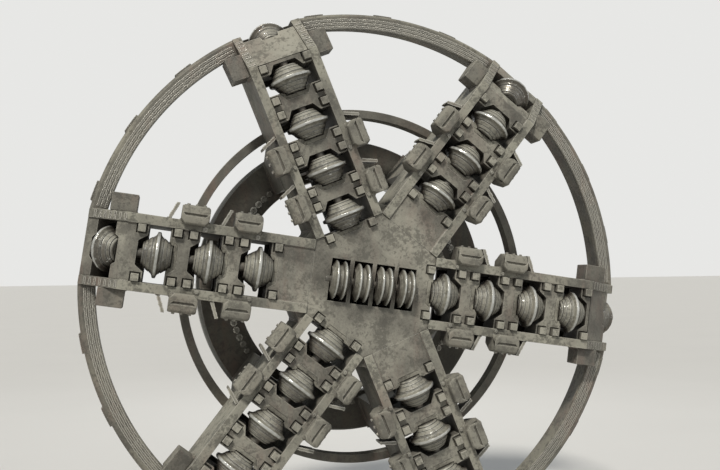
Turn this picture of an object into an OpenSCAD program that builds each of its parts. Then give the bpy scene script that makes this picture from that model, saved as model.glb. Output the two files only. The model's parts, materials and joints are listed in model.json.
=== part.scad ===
// Rock-cutting head of a tunnel boring machine, with the slewing bearing that carries it.
// The axis of the head is Y: the face looks to -Y and the machine is on the +Y side.
// The origin is the centre of the bearing's mounting face. Z is up.

/* [Head] */
// Distance from the bearing's mounting face to the front edges of the arms
face_stand = 1650; // [1560:10:1800]
// Angle of the first arm below the horizontal, seen from the front
arm_phase = 8.5; // [0:0.5:59]

/* [Rim] */
// Outer radius of the rim
rim_r = 3080; // [3040:5:3140]
// Wall of the rim
rim_t = 80; // [70:5:90]
// How far the rim's front edge lies behind the arms' front edges
rim_back = 270; // [250:5:290]
// How far the rim's front flange reaches inwards
rim_flange = 100; // [80:5:120]
// Thickness of that flange
rim_flange_t = 60; // [40:5:80]
// Bevel on the rim's front edge
rim_bevel = 30; // [20:5:40]
// Length of a wear strip round the rim
strip_l = 215; // [180:5:240]
// Thickness of the wear strips
strip_t = 24; // [16:1:30]
// Distance of the wear strips from the rim's edges
strip_edge = 60; // [40:5:80]
// Length of a rim bucket along the arm
bucket_l = 270; // [240:5:300]
// Width of a rim bucket across the arm
bucket_w = 190; // [170:5:210]
// Depth of a rim bucket
bucket_h = 280; // [250:5:300]
// How far a bucket's outer corner stands out of the arm's slope
bucket_lip = 20; // [10:1:30]
// How much further its inner corner stands out
bucket_rise = 40; // [30:1:50]
// How much shorter a bucket is at its inner end
bucket_cut = 90; // [70:5:110]

/* [Arms] */
// Width across one arm, over both side plates
arm_w = 795; // [785:5:805]
// Depth of an arm, from front edge to back edge
arm_depth = 700; // [680:10:740]
// Thickness of an arm's side plates
side_t = 100; // [90:5:105]
// How far the saddles lie below the side plates' front edges
saddle_drop = 20; // [12:1:28]
// Depth of the saddles that hold the cutters
saddle_h = 300; // [280:5:330]
// Thickness of an arm's back plates
back_t = 45; // [35:1:60]
// Distance from the rim's outer radius at which the arms' front edges begin to slope back
slope_in = 440; // [430:2:442]
// How far the front edges slope back on their way to the rim
slope_drop = 230; // [200:5:240]
// Distance from the rim's outer radius at which the solid end blocks begin
block_in = 520; // [500:5:540]
// Side of the gussets in the corners between the arms
gusset = 115; // [90:5:120]
// Thickness of the walls of the six-sided centre box
box_wall = 190; // [150:5:210]

/* [Disc cutters] */
// Radius of a disc cutter over its ring
disc_r = 241.5; // [235:0.5:245]
// How far a disc stands out of the front edges
disc_out = 155; // [145:1:165]
// Distance of the first disc from the axis on the first, third and fifth arms
first_a = 825; // [818:1:835]
// Distance of the first disc from the axis on the second, fourth and sixth arms
first_b = 1260; // [1250:1:1265]
// Distance from the rim's outer radius to the last plain disc on the first, third and fifth arms
last_a_in = 680; // [675:1:690]
// Distance from the rim's outer radius to the last plain disc on the second, fourth and sixth arms
last_b_in = 770; // [765:1:780]
// Half width of a disc's cutting edge
tip_half = 13; // [9:0.5:16]
// Half width of a disc's ring at its foot
ring_half = 40; // [36:1:44]
// Height of a disc's ring above the hub's flare
ring_h = 46; // [40:1:52]
// Radius of a disc's hub at its end
hub_end_r = 130; // [120:1:134]
// Half length of a disc's hub
hub_half = 148; // [125:1:149]
// Radius of a cutter's shaft
shaft_r = 50; // [40:1:60]
// Half length of a cutter's shaft
shaft_half = 250; // [240:1:255]
// Length of the window beside each disc, along the arm
window_l = 224; // [216:2:230]
// Radius of the round hollow in the saddles beside a hub
hollow_r = 200; // [175:1:201]
// Half length of that hollow, both ends together
hollow_half = 200; // [160:1:205]
// Radius of the hollow beside a tilted disc's hub
outer_hollow_r = 172; // [168:1:180]
// Half length of that hollow
outer_hollow_half = 158; // [155:1:160]
// Clearance between a hub's end and the narrow end of its hollow
hollow_gap = 10; // [6:1:12]
// Distance from a disc's middle to the lugs that clamp its shaft, along the arm
lug_reach = 182.5; // [178:0.5:188]
// Side of the square lugs that clamp the shafts
lug = 80; // [70:2:90]
// Height of the lugs above the side plates' front edges
lug_h = 30; // [20:1:40]
// Width of the groove round a lug
lug_gap = 14; // [8:1:16]
// Depth of that groove below the saddle's face
lug_root = 30; // [20:1:40]

/* [Outer cutters] */
// Distance from the rim's outer radius to the outermost disc on the first, third and fifth arms
outer_a_in = 180; // [177:1:190]
// Depth of that disc's centre behind the front edges
outer_a_y = 395; // [385:1:400]
// Tilt of that disc
outer_a_tilt = 65; // [63:1:67]
// Half length of that disc's shaft
outer_a_half = 230; // [222:1:232]
// Distance from the rim's outer radius to the outermost disc on the second, fourth and sixth arms
outer_b_in = 290; // [280:1:295]
// Depth of that disc's centre behind the front edges
outer_b_y = 215; // [205:1:225]
// Tilt of that disc
outer_b_tilt = 40; // [38:1:42]
// Half length of that disc's shaft
outer_b_half = 215; // [205:1:220]

/* [Centre cutters] */
// Radius of the twin discs at the centre
twin_r = 216; // [205:1:222]
// Distance between two twin cutters
twin_pitch = 252; // [248:1:253]
// Half distance between the two rings of a twin cutter
twin_half = 46; // [42:1:50]
// Half width of a twin cutter's cutting edges
twin_tip = 9; // [6:0.5:12]
// Half width of a twin cutter's rings at their foot
twin_foot = 28; // [24:1:32]
// Height of a twin cutter's rings above the hub
twin_ring_h = 45; // [38:1:50]
// Thickness of the walls between the twin cutters
twin_wall = 46; // [36:1:50]
// Gap between a twin cutter and what is round it
twin_gap = 8; // [6:1:14]

/* [Scrapers] */
// Length of a scraper along the arm
scraper_l = 290; // [270:5:300]
// How far a scraper reaches out sideways from its arm
scraper_w = 160; // [145:5:175]
// How far a scraper laps over its side plate's front edge
scraper_lap = 42; // [30:1:50]
// How far a scraper stands out of the front edges
scraper_out = 100; // [90:5:110]
// How far a scraper's block reaches back along the side plate
scraper_back = 190; // [170:5:210]
// Distance between two scrapers along an arm
scraper_pitch = 550; // [540:5:560]
// Distance of the first scraper from the axis on the first, third and fifth arms
scraper_a = 1055; // [1040:5:1075]
// Distance of the first scraper from the axis on the second, fourth and sixth arms
scraper_b = 1430; // [1415:5:1445]
// Thickness of the rib beyond each scraper
rib_t = 28; // [20:1:36]
// How far a rib reaches out sideways
rib_w = 175; // [150:5:190]
// Distance from a scraper's end to the foot of its rib
rib_gap = 100; // [85:5:115]
// Angle by which a rib leans towards the scraper
rib_lean = 23; // [16:1:25]

/* [Back] */
// Distance of the stiffening ring's outside from the legs
stiff_gap = 166; // [156:1:176]
// Width of that ring
stiff_w = 96; // [80:2:100]
// Depth of that ring
stiff_h = 150; // [120:5:180]
// How far the legs spread out at the arms beyond their flange
leg_spread = 110; // [80:5:130]
// Distance from the legs' inner edge to the web that joins their two plates
leg_web = 145; // [120:5:170]
// Thickness of the legs' web
leg_web_t = 90; // [70:5:110]
// Thickness of the flange that the legs stand on
flange_t = 130; // [110:5:150]
// How far the flange reaches out beyond the circle of the bearing's bolts
flange_edge = 45; // [30:5:60]
// Length of the mixing bars behind the arms
mixer_l = 380; // [300:10:420]
// Radius of the mixing bars
mixer_r = 85; // [70:1:95]
// Gap between the stiffening ring and the nearest mixing bars
mixer_gap = 14; // [10:1:30]
// Distance from the window of the last plain disc to the outer mixing bars
mixer_edge = 8; // [2:1:30]

/* [Bearing] */
// Radius of the circle of bolts that hold the fixed ring
fixed_bolt_r = 1745; // [1600:5:1900]
// Number of bolts in the fixed ring
fixed_bolts = 48; // [24:4:60]
// Radius of the bolt holes in the fixed ring
fixed_bolt_hole = 21; // [18:0.5:24]
// Distance from the bolts' circle to the outside of the fixed ring
fixed_edge = 85; // [70:5:100]
// Distance from the bolts' circle to the running face between the two rings
race_edge = 160; // [145:5:175]
// Radial width of the turning ring
turning_w = 245; // [230:5:260]
// Depth of the fixed ring
fixed_h = 180; // [165:5:190]
// Gap between the turning ring and what stands still behind it
bearing_step = 20; // [15:1:25]
// Gap at the running face
bearing_gap = 0.3; // [0.2:0.1:0.5]

/* [Middle] */
// Outer radius of the column behind the centre
column_r = 330; // [300:5:350]
// Radius of the foot plate of the column
foot_r = 560; // [540:5:575]
// Thickness of that foot plate
foot_t = 70; // [50:5:90]
// Radius of the rotary coupling
coupling_r = 190; // [160:5:220]
// Length of the rotary coupling's body
coupling_l = 240; // [200:5:280]
// How far the rotary coupling's flange stands out
coupling_edge = 60; // [40:5:80]
// Thickness of that flange
coupling_t = 50; // [40:2:60]
// Radius of the rotary coupling's fixed end
tail_r = 120; // [100:5:140]
// Length of that end behind the body
tail_l = 90; // [60:5:110]
// Radius of the pipes that feed the arms
pipe_r = 44; // [35:1:50]
// Distance of the pipes behind the arms' back edges
pipe_back = 160; // [130:5:200]

/* [Hidden] */
$fn = 96;

// Clearance between pieces that are seated on each other
seat = 0.3;
// Running clearance of a disc on its shaft
running = 0.08;
// Number of arms and the angle between two of them
arm_count = 6;
arm_step = 360 / arm_count;
// Front edge, back edge and saddle face of the arms, along Y
front = -face_stand;
back = front + arm_depth;
saddle_y = front + saddle_drop;
// Inner radius of the rim, and the flat end of the arms, whose corners just reach the rim's outside
rim_in = rim_r - rim_t;
arm_end = sqrt(pow(rim_r - 2, 2) - pow(arm_w / 2, 2));
slope_r = rim_r - slope_in;
block_r = rim_r - block_in;
// Distance from the axis to the flats of the six-sided centre box, and the space between two side plates
box_flat = arm_w * cos(30);
gap_w = arm_w - 2 * side_t;
// Depth of a disc's centre behind the front edges, and the radius of the flare that carries its ring
disc_y = disc_r - disc_out;
hub_r = disc_r - ring_h;
twin_y = front + twin_r - disc_out;
twin_end = 2 * twin_pitch + twin_wall / 2;
// Rings of the bearing, and the legs that stand on them
fixed_r = fixed_bolt_r + fixed_edge;
race_r = fixed_bolt_r - race_edge;
bore_r = race_r - turning_w;
flange_r = fixed_bolt_r + flange_edge;
flange_y = -fixed_h - bearing_step - flange_t;
leg_in = bore_r + 5;
leg_out = flange_r + leg_spread;
leg_web_r = leg_in + leg_web;
stiff_r = leg_out + stiff_gap;
mixer_a = stiff_r + mixer_r + mixer_gap;
mixer_b = rim_r - last_b_in + window_l / 2 + mixer_edge + mixer_r;

function is_a(arm) = arm % 2 == 1;
function arm_angle(arm) = -arm_phase + arm_step * (arm - 1);
function slope_at(r) = slope_drop * max(0, r - slope_r) / (rim_in - slope_r);

// Disc cutters of an arm. Columns: distance from the axis, depth behind the front edges, tilt, half length of shaft.
// The plain discs stand at equal steps from the first place to the last one.
function plain_discs(first, last, count) = [
    for (i = [0:count - 1]) [first + i * (last - first) / (count - 1), disc_y, 0, shaft_half]
];
discs_a = concat(
    plain_discs(first_a, rim_r - last_a_in, 4),
    [[rim_r - outer_a_in, outer_a_y, outer_a_tilt, outer_a_half]]
);
discs_b = concat(
    plain_discs(first_b, rim_r - last_b_in, 3),
    [[rim_r - outer_b_in, outer_b_y, outer_b_tilt, outer_b_half]]
);
function discs(arm) = is_a(arm) ? discs_a : discs_b;

// Places of the twin cutters along the line of the first arm
twin_places = [for (i = [-1.5:1:1.5]) i * twin_pitch];

// Places of the scrapers along an arm
function scraper_places(arm) = [for (i = [0:1]) (is_a(arm) ? scraper_a : scraper_b) + i * scraper_pitch];

function disc_name(arm, i) = str("disc_", arm, "_", i + 1);
function twin_name(i) = str("twin_disc_", i + 1);

// Turns what is drawn along +X to an arm's own direction
module on_arm(arm) {
    rotate([0, -arm_angle(arm), 0]) children();
}

// Draws something once for each arm
module on_arms(arms = [1:arm_count]) {
    for (arm = arms) on_arm(arm) children();
}

// A cylinder along Y that starts at y and is h long
module along_y(r, y, h) {
    translate([0, y + h, 0]) rotate([90, 0, 0]) cylinder(r = r, h = h);
}

// A ring round Y between two radii
module ring(r_in, r_out, y, h) {
    difference() {
        along_y(r_out, y, h);
        along_y(r_in, y - 1, h + 2);
    }
}

// A plate cut to an outline in X and Y, with its thickness across the arm
module plate(points, t, z = 0) {
    translate([0, 0, z - t / 2]) linear_extrude(t) polygon(points);
}

// A body turned round X. Columns of the profile: radius, half width
module turned(points) {
    mirrored = [for (i = [len(points) - 1:-1:0]) [points[i][0], -points[i][1]]];
    rotate([0, 90, 0]) rotate_extrude($fn = 128) polygon(concat(points, mirrored));
}

// Puts its children at a disc's centre, with X along the shaft and -Y out of the head
module at_disc(d) {
    translate([d[0], front + d[1], 0]) rotate([0, 0, d[2]]) children();
}

// The round hollows and the shaft's bore that a disc leaves in the saddles on both sides of its window
module disc_seat(d) {
    wide = d[2] == 0 ? hollow_r : outer_hollow_r;
    half = d[2] == 0 ? hollow_half : outer_hollow_half;
    at_disc(d) {
        turned([[0, half], [hub_end_r + hollow_gap, half], [wide, window_l / 2 - 2]]);
        rotate([0, 90, 0]) cylinder(r = shaft_r + seat, h = 2 * d[3] + 2 * seat, center = true);
    }
}

// The window of a tilted disc, which runs back until it opens into the hollow of the arm
module tilted_window(d) {
    above = 2 * disc_r;
    reach = (d[0] - block_r + window_l / 2 * cos(d[2])) / sin(d[2]) + 10;
    at_disc(d) translate([-window_l / 2, -above, -gap_w / 2 - 1]) cube([window_l, above + reach, gap_w + 2]);
}

// Puts its children where the two lugs stand that clamp one end of a shaft, on the arms' front edges:
// end is 1 for the outer end and -1 for the inner end
module at_lugs(d, end) {
    for (side = [-1, 1])
        translate([d[0] + end * lug_reach, front, side * (gap_w / 2 - lug / 2 - 4)]) children();
}

module lugs(d, end) {
    at_lugs(d, end) translate([-lug / 2, -lug_h, -lug / 2]) cube([lug, lug_h + saddle_drop + lug_root + 1, lug]);
}

// The groove round a lug
module lug_pockets(d, end) {
    w = lug + 2 * lug_gap;
    at_lugs(d, end) translate([-w / 2, -1, -w / 2]) cube([w, saddle_drop + lug_root + 1, w]);
}

module arm_side_plates() {
    outline = [
        [box_flat + seat, front], [slope_r, front], [arm_end, front + slope_at(arm_end)],
        [arm_end, back], [box_flat + seat, back]
    ];
    color([0.51, 0.50, 0.44]) on_arms() for (side = [-1, 1]) plate(outline, side_t, side * (arm_w - side_t) / 2);
}

// Start and end of each saddle of an arm, between the windows of its plain discs
function saddle_spans(arm) = let(d = discs(arm), last = len(d) - 2) [
    if (!is_a(arm)) [box_flat + seat, d[0][0] - window_l / 2],
    for (i = [0:last - 1]) [d[i][0] + window_l / 2, d[i + 1][0] - window_l / 2]
];

// Where the end piece of an arm begins, past the window of its last plain disc
function end_start(arm) = discs(arm)[len(discs(arm)) - 2][0] + window_l / 2;

module arm_saddles() {
    color([0.51, 0.50, 0.44]) for (arm = [1:arm_count]) on_arm(arm) {
        plain = [for (d = discs(arm)) if (d[2] == 0) d];
        for (span = saddle_spans(arm)) difference() {
            translate([span[0], saddle_y, -gap_w / 2]) cube([span[1] - span[0], saddle_h, gap_w]);
            for (d = plain) {
                disc_seat(d);
                for (end = [-1, 1]) lug_pockets(d, end);
            }
        }
        for (d = plain, end = [-1, 1]) if (in_saddle(arm, d, end)) lugs(d, end);
    }
}

// Whether the lugs at one end of a plain disc's shaft stand on a saddle, not on the centre box or the end block
function in_saddle(arm, d, end) = let(x = d[0] + end * lug_reach) x > box_flat && x < end_start(arm);

module arm_back_plates() {
    color([0.48, 0.47, 0.42]) for (arm = [1:arm_count]) on_arm(arm)
        for (span = concat(saddle_spans(arm), [[end_start(arm), block_r - seat]]))
            translate([span[0], back - back_t, -gap_w / 2]) cube([span[1] - span[0], back_t, gap_w]);
}

// The outermost saddle and the solid block behind it, parted by the window of the tilted disc
module arm_end_blocks() {
    end_slope = slope_at(arm_end);
    color([0.51, 0.50, 0.44]) for (arm = [1:arm_count]) on_arm(arm) {
        last = discs(arm)[len(discs(arm)) - 2];
        tilted = discs(arm)[len(discs(arm)) - 1];
        difference() {
            plate([
                [end_start(arm), saddle_y], [slope_r, saddle_y], [arm_end, saddle_y + end_slope], [arm_end, back],
                [block_r, back], [block_r, saddle_y + saddle_h], [end_start(arm), saddle_y + saddle_h]
            ], gap_w);
            disc_seat(last);
            lug_pockets(last, 1);
            disc_seat(tilted);
            tilted_window(tilted);
        }
        lugs(last, 1);
    }
}

// Profile of a disc cutter: a bell-shaped hub on each side of the ring. Columns: radius, half width
disc_profile = [
    [shaft_r + running, hub_half], [hub_end_r - 10, hub_half], [hub_end_r, hub_half - 10], [hub_r, ring_half],
    [disc_r - 22, tip_half + 15], [disc_r - 6, tip_half + 6], [disc_r, tip_half - 3]
];

module disc(arm, i) {
    color([0.50, 0.48, 0.43]) on_arm(arm) at_disc(discs(arm)[i]) turned(disc_profile);
}

// A twin cutter: one hub with two rings
module twin_disc(i) {
    hub = twin_r - twin_ring_h;
    end = twin_pitch / 2 - twin_wall / 2 - twin_gap;
    half = [
        [shaft_r + running, end], [hub - 24, end], [hub - 10, twin_half + twin_foot + 4],
        [hub, twin_half + twin_foot], [twin_r, twin_half + twin_tip], [twin_r, twin_half - twin_tip],
        [hub, twin_half - twin_foot]
    ];
    color([0.50, 0.48, 0.43]) on_arm(1) translate([twin_places[i], twin_y, 0]) turned(half);
}

module cutter_shafts() {
    color([0.42, 0.41, 0.38])
        for (arm = [1:arm_count]) on_arm(arm) for (d = discs(arm))
            at_disc(d) rotate([0, 90, 0]) cylinder(r = shaft_r, h = 2 * d[3], center = true);
}

module twin_shafts() {
    color([0.42, 0.41, 0.38]) on_arm(1)
        translate([0, twin_y, 0]) rotate([0, 90, 0]) cylinder(r = shaft_r, h = 2 * twin_end, center = true);
}

// A six-sided prism round Y, with its flats towards the arms
module six_sided(r, y, h) {
    rotate([0, arm_phase + arm_step / 2, 0]) translate([0, y + h, 0]) rotate([90, 0, 0]) cylinder(r = r, h = h, $fn = 6);
}

// The face of the centre box, with the slots of the twin cutters
module centre_face() {
    slot_r = twin_r + twin_gap + 6;
    color([0.50, 0.49, 0.44]) on_arms([1, 3, 5]) lugs(discs_a[0], -1);
    color([0.50, 0.49, 0.44]) difference() {
        six_sided(arm_w, saddle_y, saddle_h);
        on_arm(1) for (x = twin_places)
            translate([x - twin_pitch / 2 + twin_wall / 2, saddle_y - 1, -slot_r])
                cube([twin_pitch - twin_wall, saddle_h + 2, 2 * slot_r]);
        on_arm(1) translate([0, twin_y, 0]) rotate([0, 90, 0])
            cylinder(r = shaft_r + seat, h = 2 * (twin_end + seat), center = true);
        on_arms([1, 3, 5]) {
            disc_seat(discs_a[0]);
            lug_pockets(discs_a[0], -1);
        }
    }
}

// The walls of the centre box behind its face
module centre_walls() {
    y = saddle_y + saddle_h;
    color([0.48, 0.47, 0.42]) difference() {
        six_sided(arm_w, y, back - y);
        six_sided(arm_w - box_wall / cos(30), y - 1, back - y + 2);
    }
}

module centre_gussets() {
    edge = 0.2;
    front_gap = 30;
    color([0.50, 0.49, 0.44]) for (arm = [1:arm_count])
        on_arm(arm) rotate([0, -arm_step / 2, 0]) translate([arm_w + edge, back - seat, 0]) rotate([90, 0, 0])
            linear_extrude(arm_depth - saddle_drop - front_gap)
                polygon([[edge, 0], [gusset * cos(30), gusset / 2 - edge], [gusset * cos(30), edge - gusset / 2]]);
}

// The rim is six arcs, each welded in between two arms
module rim() {
    y0 = front + rim_back;
    color([0.48, 0.46, 0.41]) difference() {
        rotate([90, 0, 0]) rotate_extrude($fn = 240) polygon([
            [rim_in, -back], [rim_r, -back], [rim_r, -y0 - rim_bevel], [rim_r - rim_bevel, -y0],
            [rim_in - rim_flange, -y0], [rim_in - rim_flange, -y0 - rim_flange_t], [rim_in, -y0 - rim_flange_t]
        ]);
        on_arms() translate([rim_in - 2 * rim_flange, front, -arm_w / 2 - seat])
            cube([rim_t + 3 * rim_flange, arm_depth + 1, arm_w + 2 * seat]);
    }
}

module rim_wear_strips() {
    strip_angle = strip_l / rim_r * 180 / PI;
    strip_h = arm_depth - rim_back - 2 * strip_edge;
    color([0.44, 0.43, 0.40]) for (arm = [1:arm_count], turn = [-15, 0, 15])
        on_arm(arm) rotate([0, -arm_step / 2 - turn - strip_angle / 2, 0]) rotate([90, 0, 0])
            rotate_extrude(angle = strip_angle, $fn = 240)
                translate([rim_r + seat, -back + strip_edge]) square([strip_t, strip_h]);
}

// Buckets at the rim that lift what has been cut, one on each side of every arm, just inside the rim's flange
module rim_buckets() {
    far = sqrt(pow(rim_in - rim_flange - seat, 2) - pow(arm_w / 2 + bucket_w, 2));
    near = far - bucket_l;
    lip = front + slope_at(far) - bucket_lip;
    color([0.47, 0.45, 0.40]) on_arms() for (side = [-1, 1])
        plate([[near, lip - bucket_rise], [far, lip], [far, lip + bucket_h], [near, lip + bucket_h - bucket_cut]],
            bucket_w, side * (arm_w + bucket_w) / 2);
}

// Section of a scraper beside its side plate: a block by the arm, a groove, and the tooth beyond it.
// Columns: place across the arm, from the plate's outer face outwards, and place behind the front edges
groove_at = (scraper_w - scraper_lap) / 2;
scraper_section = [
    [0, scraper_back], [0, 0], [-scraper_lap, 0], [-scraper_lap, 24 - scraper_out], [12 - scraper_lap, -scraper_out],
    [groove_at - 13, -scraper_out], [groove_at - 4, 24 - scraper_out], [groove_at + 5, 24 - scraper_out],
    [groove_at + 13, 4 - scraper_out], [scraper_w - 20, 18 - scraper_out], [scraper_w, 45 - scraper_out],
    [scraper_w, 60], [scraper_w / 2, scraper_back]
];

// Draws something beside a side plate: X along the arm, Y behind the front edges, Z out from the plate
module beside(u, side) {
    translate([u, front, side * arm_w / 2]) mirror([0, 0, side > 0 ? 0 : 1]) children();
}

module scrapers(side) {
    color([0.53, 0.52, 0.46]) for (arm = [1:arm_count]) on_arm(arm) for (u = scraper_places(arm))
        beside(u - scraper_l / 2, side) rotate([90, 0, 90]) linear_extrude(scraper_l)
            polygon([for (p = scraper_section) [p[1], p[0]]]);
}

module leading_scrapers() {
    scrapers(1);
}

module trailing_scrapers() {
    scrapers(-1);
}

// The rib beyond each scraper, which leans towards it
module scraper_ribs() {
    lean = rib_w * tan(rib_lean);
    foot = rib_t / cos(rib_lean);
    color([0.52, 0.51, 0.45]) for (arm = [1:arm_count], side = [-1, 1]) on_arm(arm) for (u = scraper_places(arm))
        beside(u + scraper_l / 2 + rib_gap, side) rotate([90, 0, 0]) translate([0, 0, -scraper_back])
            linear_extrude(scraper_back - saddle_drop)
                polygon([[0, 0], [foot, 0], [foot - lean, rib_w], [-lean, rib_w]]);
}

module mixing_bars() {
    color([0.45, 0.44, 0.40]) for (arm = [1:arm_count])
        on_arm(arm) translate([is_a(arm) ? mixer_a : mixer_b, 0, 0]) along_y(mixer_r, back, mixer_l);
}

module stiffening_ring() {
    color([0.46, 0.45, 0.41]) ring(stiff_r - stiff_w, stiff_r, back, stiff_h);
}

module support_legs() {
    outline = [[leg_in, back], [leg_out, back], [flange_r - 20, flange_y], [leg_in, flange_y]];
    color([0.47, 0.46, 0.42]) on_arms() union() {
        for (side = [-1, 1]) plate(outline, side_t, side * (arm_w - side_t) / 2);
        translate([leg_web_r - leg_web_t / 2, back, -arm_w / 2 + 1]) cube([leg_web_t, flange_y - back, arm_w - 2]);
    }
}

module leg_flange() {
    color([0.47, 0.46, 0.42]) ring(bore_r, flange_r, flange_y, flange_t);
}

module bearing_turning_ring() {
    color([0.55, 0.55, 0.54]) ring(bore_r, race_r - bearing_gap, flange_y + flange_t, fixed_h);
}

module bearing_fixed_ring() {
    color([0.50, 0.50, 0.50]) difference() {
        ring(race_r, fixed_r, -fixed_h, fixed_h);
        for (i = [0:fixed_bolts - 1]) rotate([0, i * 360 / fixed_bolts, 0])
            translate([fixed_bolt_r, 0, 0]) along_y(fixed_bolt_hole, -fixed_h - 1, fixed_h + 2);
    }
}

// The column that carries the rotary coupling, on its foot plate
module centre_column() {
    color([0.47, 0.46, 0.42]) union() {
        along_y(foot_r, back, foot_t);
        along_y(column_r, back, flange_y - back);
    }
}

module rotary_coupling() {
    color([0.40, 0.41, 0.42]) union() {
        along_y(coupling_r + coupling_edge, flange_y, coupling_t);
        along_y(coupling_r, flange_y, coupling_l);
        along_y(tail_r, flange_y, coupling_l + tail_l);
    }
}

module supply_pipes() {
    end = leg_web_r - leg_web_t / 2 - seat;
    color([0.42, 0.42, 0.40]) on_arms()
        translate([column_r + seat, back + pipe_back, 0]) rotate([0, 90, 0])
            cylinder(r = pipe_r, h = end - column_r - seat);
}

bearing_fixed_ring();
bearing_turning_ring();
leg_flange();
support_legs();
centre_column();
rotary_coupling();
supply_pipes();
centre_face();
centre_walls();
centre_gussets();
arm_side_plates();
arm_saddles();
arm_back_plates();
arm_end_blocks();
stiffening_ring();
rim();
rim_wear_strips();
rim_buckets();
leading_scrapers();
trailing_scrapers();
scraper_ribs();
mixing_bars();
cutter_shafts();
twin_shafts();
for (arm = [1:arm_count]) for (i = [0:len(discs(arm)) - 1])
    disc(arm, i);
for (i = [0:3]) twin_disc(i);
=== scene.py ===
"""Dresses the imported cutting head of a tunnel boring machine.

It makes the cutters, scrapers, welds, caked dirt and bolts, and it gives every piece its finish.
"""
import json
import logging
import math
from dataclasses import dataclass, field
from enum import Enum
from typing import Callable, Sequence

import bmesh
import bpy
import numpy as np
from mathutils import Matrix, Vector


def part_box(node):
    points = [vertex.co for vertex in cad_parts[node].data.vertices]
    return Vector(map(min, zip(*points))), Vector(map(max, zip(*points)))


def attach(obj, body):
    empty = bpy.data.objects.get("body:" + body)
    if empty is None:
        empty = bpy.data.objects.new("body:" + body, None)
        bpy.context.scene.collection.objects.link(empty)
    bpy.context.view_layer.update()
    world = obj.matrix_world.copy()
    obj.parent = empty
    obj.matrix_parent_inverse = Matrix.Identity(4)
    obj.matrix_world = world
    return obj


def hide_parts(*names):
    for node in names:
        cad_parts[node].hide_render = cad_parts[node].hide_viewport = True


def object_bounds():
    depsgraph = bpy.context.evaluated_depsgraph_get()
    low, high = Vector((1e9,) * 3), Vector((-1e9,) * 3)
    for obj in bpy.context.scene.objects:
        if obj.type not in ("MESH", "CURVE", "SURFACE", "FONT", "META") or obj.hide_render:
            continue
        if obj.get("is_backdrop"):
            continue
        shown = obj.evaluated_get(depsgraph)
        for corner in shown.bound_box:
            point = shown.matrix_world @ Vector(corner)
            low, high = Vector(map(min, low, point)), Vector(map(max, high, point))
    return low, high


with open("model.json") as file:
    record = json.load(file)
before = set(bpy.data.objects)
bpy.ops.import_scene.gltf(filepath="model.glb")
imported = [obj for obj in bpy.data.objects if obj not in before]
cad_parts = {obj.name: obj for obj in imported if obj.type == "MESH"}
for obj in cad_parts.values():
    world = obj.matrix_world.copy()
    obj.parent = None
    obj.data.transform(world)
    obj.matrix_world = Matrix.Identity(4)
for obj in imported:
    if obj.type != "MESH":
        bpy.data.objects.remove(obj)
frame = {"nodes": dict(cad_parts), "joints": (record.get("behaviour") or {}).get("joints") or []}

log = logging.getLogger("cutting_head")
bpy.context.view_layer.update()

Vec = np.ndarray
Colour = tuple[float, float, float]
Socket = bpy.types.NodeSocket
Sockets = tuple[Socket, ...]
Inputs = dict[str, Socket]
Value = float | Colour | Socket

HEAD = "head"
FRONT_WAY = np.array([0.0, -1.0, 0.0])
BACK_WAY = np.array([0.0, 1.0, 0.0])


class Side(Enum):
    """The two long sides of an arm, each with the sign of its way out across the arm."""

    LEADING = 1
    TRAILING = -1


# Shapes worked out as arrays

@dataclass
class Shape:
    """Points and faces of one or more closed surfaces, kept as whole arrays.

    Attributes:
        points: One row of three coordinates for each vertex.
        faces: Arrays of vertex numbers, each with as many columns as its faces have corners.
        uvs: For each array of faces, the texture coordinates of its corners.
    """

    points: Vec = field(default_factory=lambda: np.zeros((0, 3)))
    faces: list[Vec] = field(default_factory=list)
    uvs: list[Vec] = field(default_factory=list)

    def add(self, other: "Shape") -> "Shape":
        """Joins another shape to this one.

        Args:
            other: The shape whose points and faces are appended.

        Returns:
            This shape, so that calls can follow each other.
        """
        start = len(self.points)
        self.points = np.concatenate([self.points, other.points])
        self.faces += [face + start for face in other.faces]
        self.uvs += other.uvs
        return self

    def moved(self, origin: Vec, x_axis: Vec, y_axis: Vec, z_axis: Vec) -> "Shape":
        """Places the shape: a point becomes origin + x * x_axis + y * y_axis + z * z_axis.

        Args:
            origin: Where the shape's own origin goes.
            x_axis: Direction of its X axis.
            y_axis: Direction of its Y axis.
            z_axis: Direction of its Z axis.

        Returns:
            A new shape with its points in place. Left-handed axes have its faces turned outwards again.
        """
        axes = np.stack([x_axis, y_axis, z_axis])
        flip = np.linalg.det(axes) < 0
        faces = [face[:, ::-1] if flip else face for face in self.faces]
        uvs = [uv[:, ::-1] if flip else uv for uv in self.uvs]
        return Shape(self.points @ axes + origin, faces, uvs)

    def repeated(self, origins: Vec, x_axes: Vec, y_axes: Vec, z_axes: Vec) -> "Shape":
        """Places many copies at once, each in the way that moved places one.

        Args:
            origins: One row for each copy.
            x_axes: Direction of X for each copy.
            y_axes: Direction of Y for each copy.
            z_axes: Direction of Z for each copy.

        Returns:
            A shape that holds every copy.
        """
        axes = np.stack([x_axes, y_axes, z_axes], axis=1)
        points = np.einsum("pk,nkj->npj", self.points, axes) + origins[:, None, :]
        starts = np.arange(len(origins)) * len(self.points)
        flip = np.linalg.det(axes[0]) < 0
        faces, uvs = [], []
        for face, uv in zip(self.faces, self.uvs):
            turned = face[:, ::-1] if flip else face
            faces.append((turned[None] + starts[:, None, None]).reshape(-1, face.shape[1]))
            uvs.append(np.tile(uv, (len(origins), 1, 1)))
        return Shape(points.reshape(-1, 3), faces, uvs)


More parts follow.
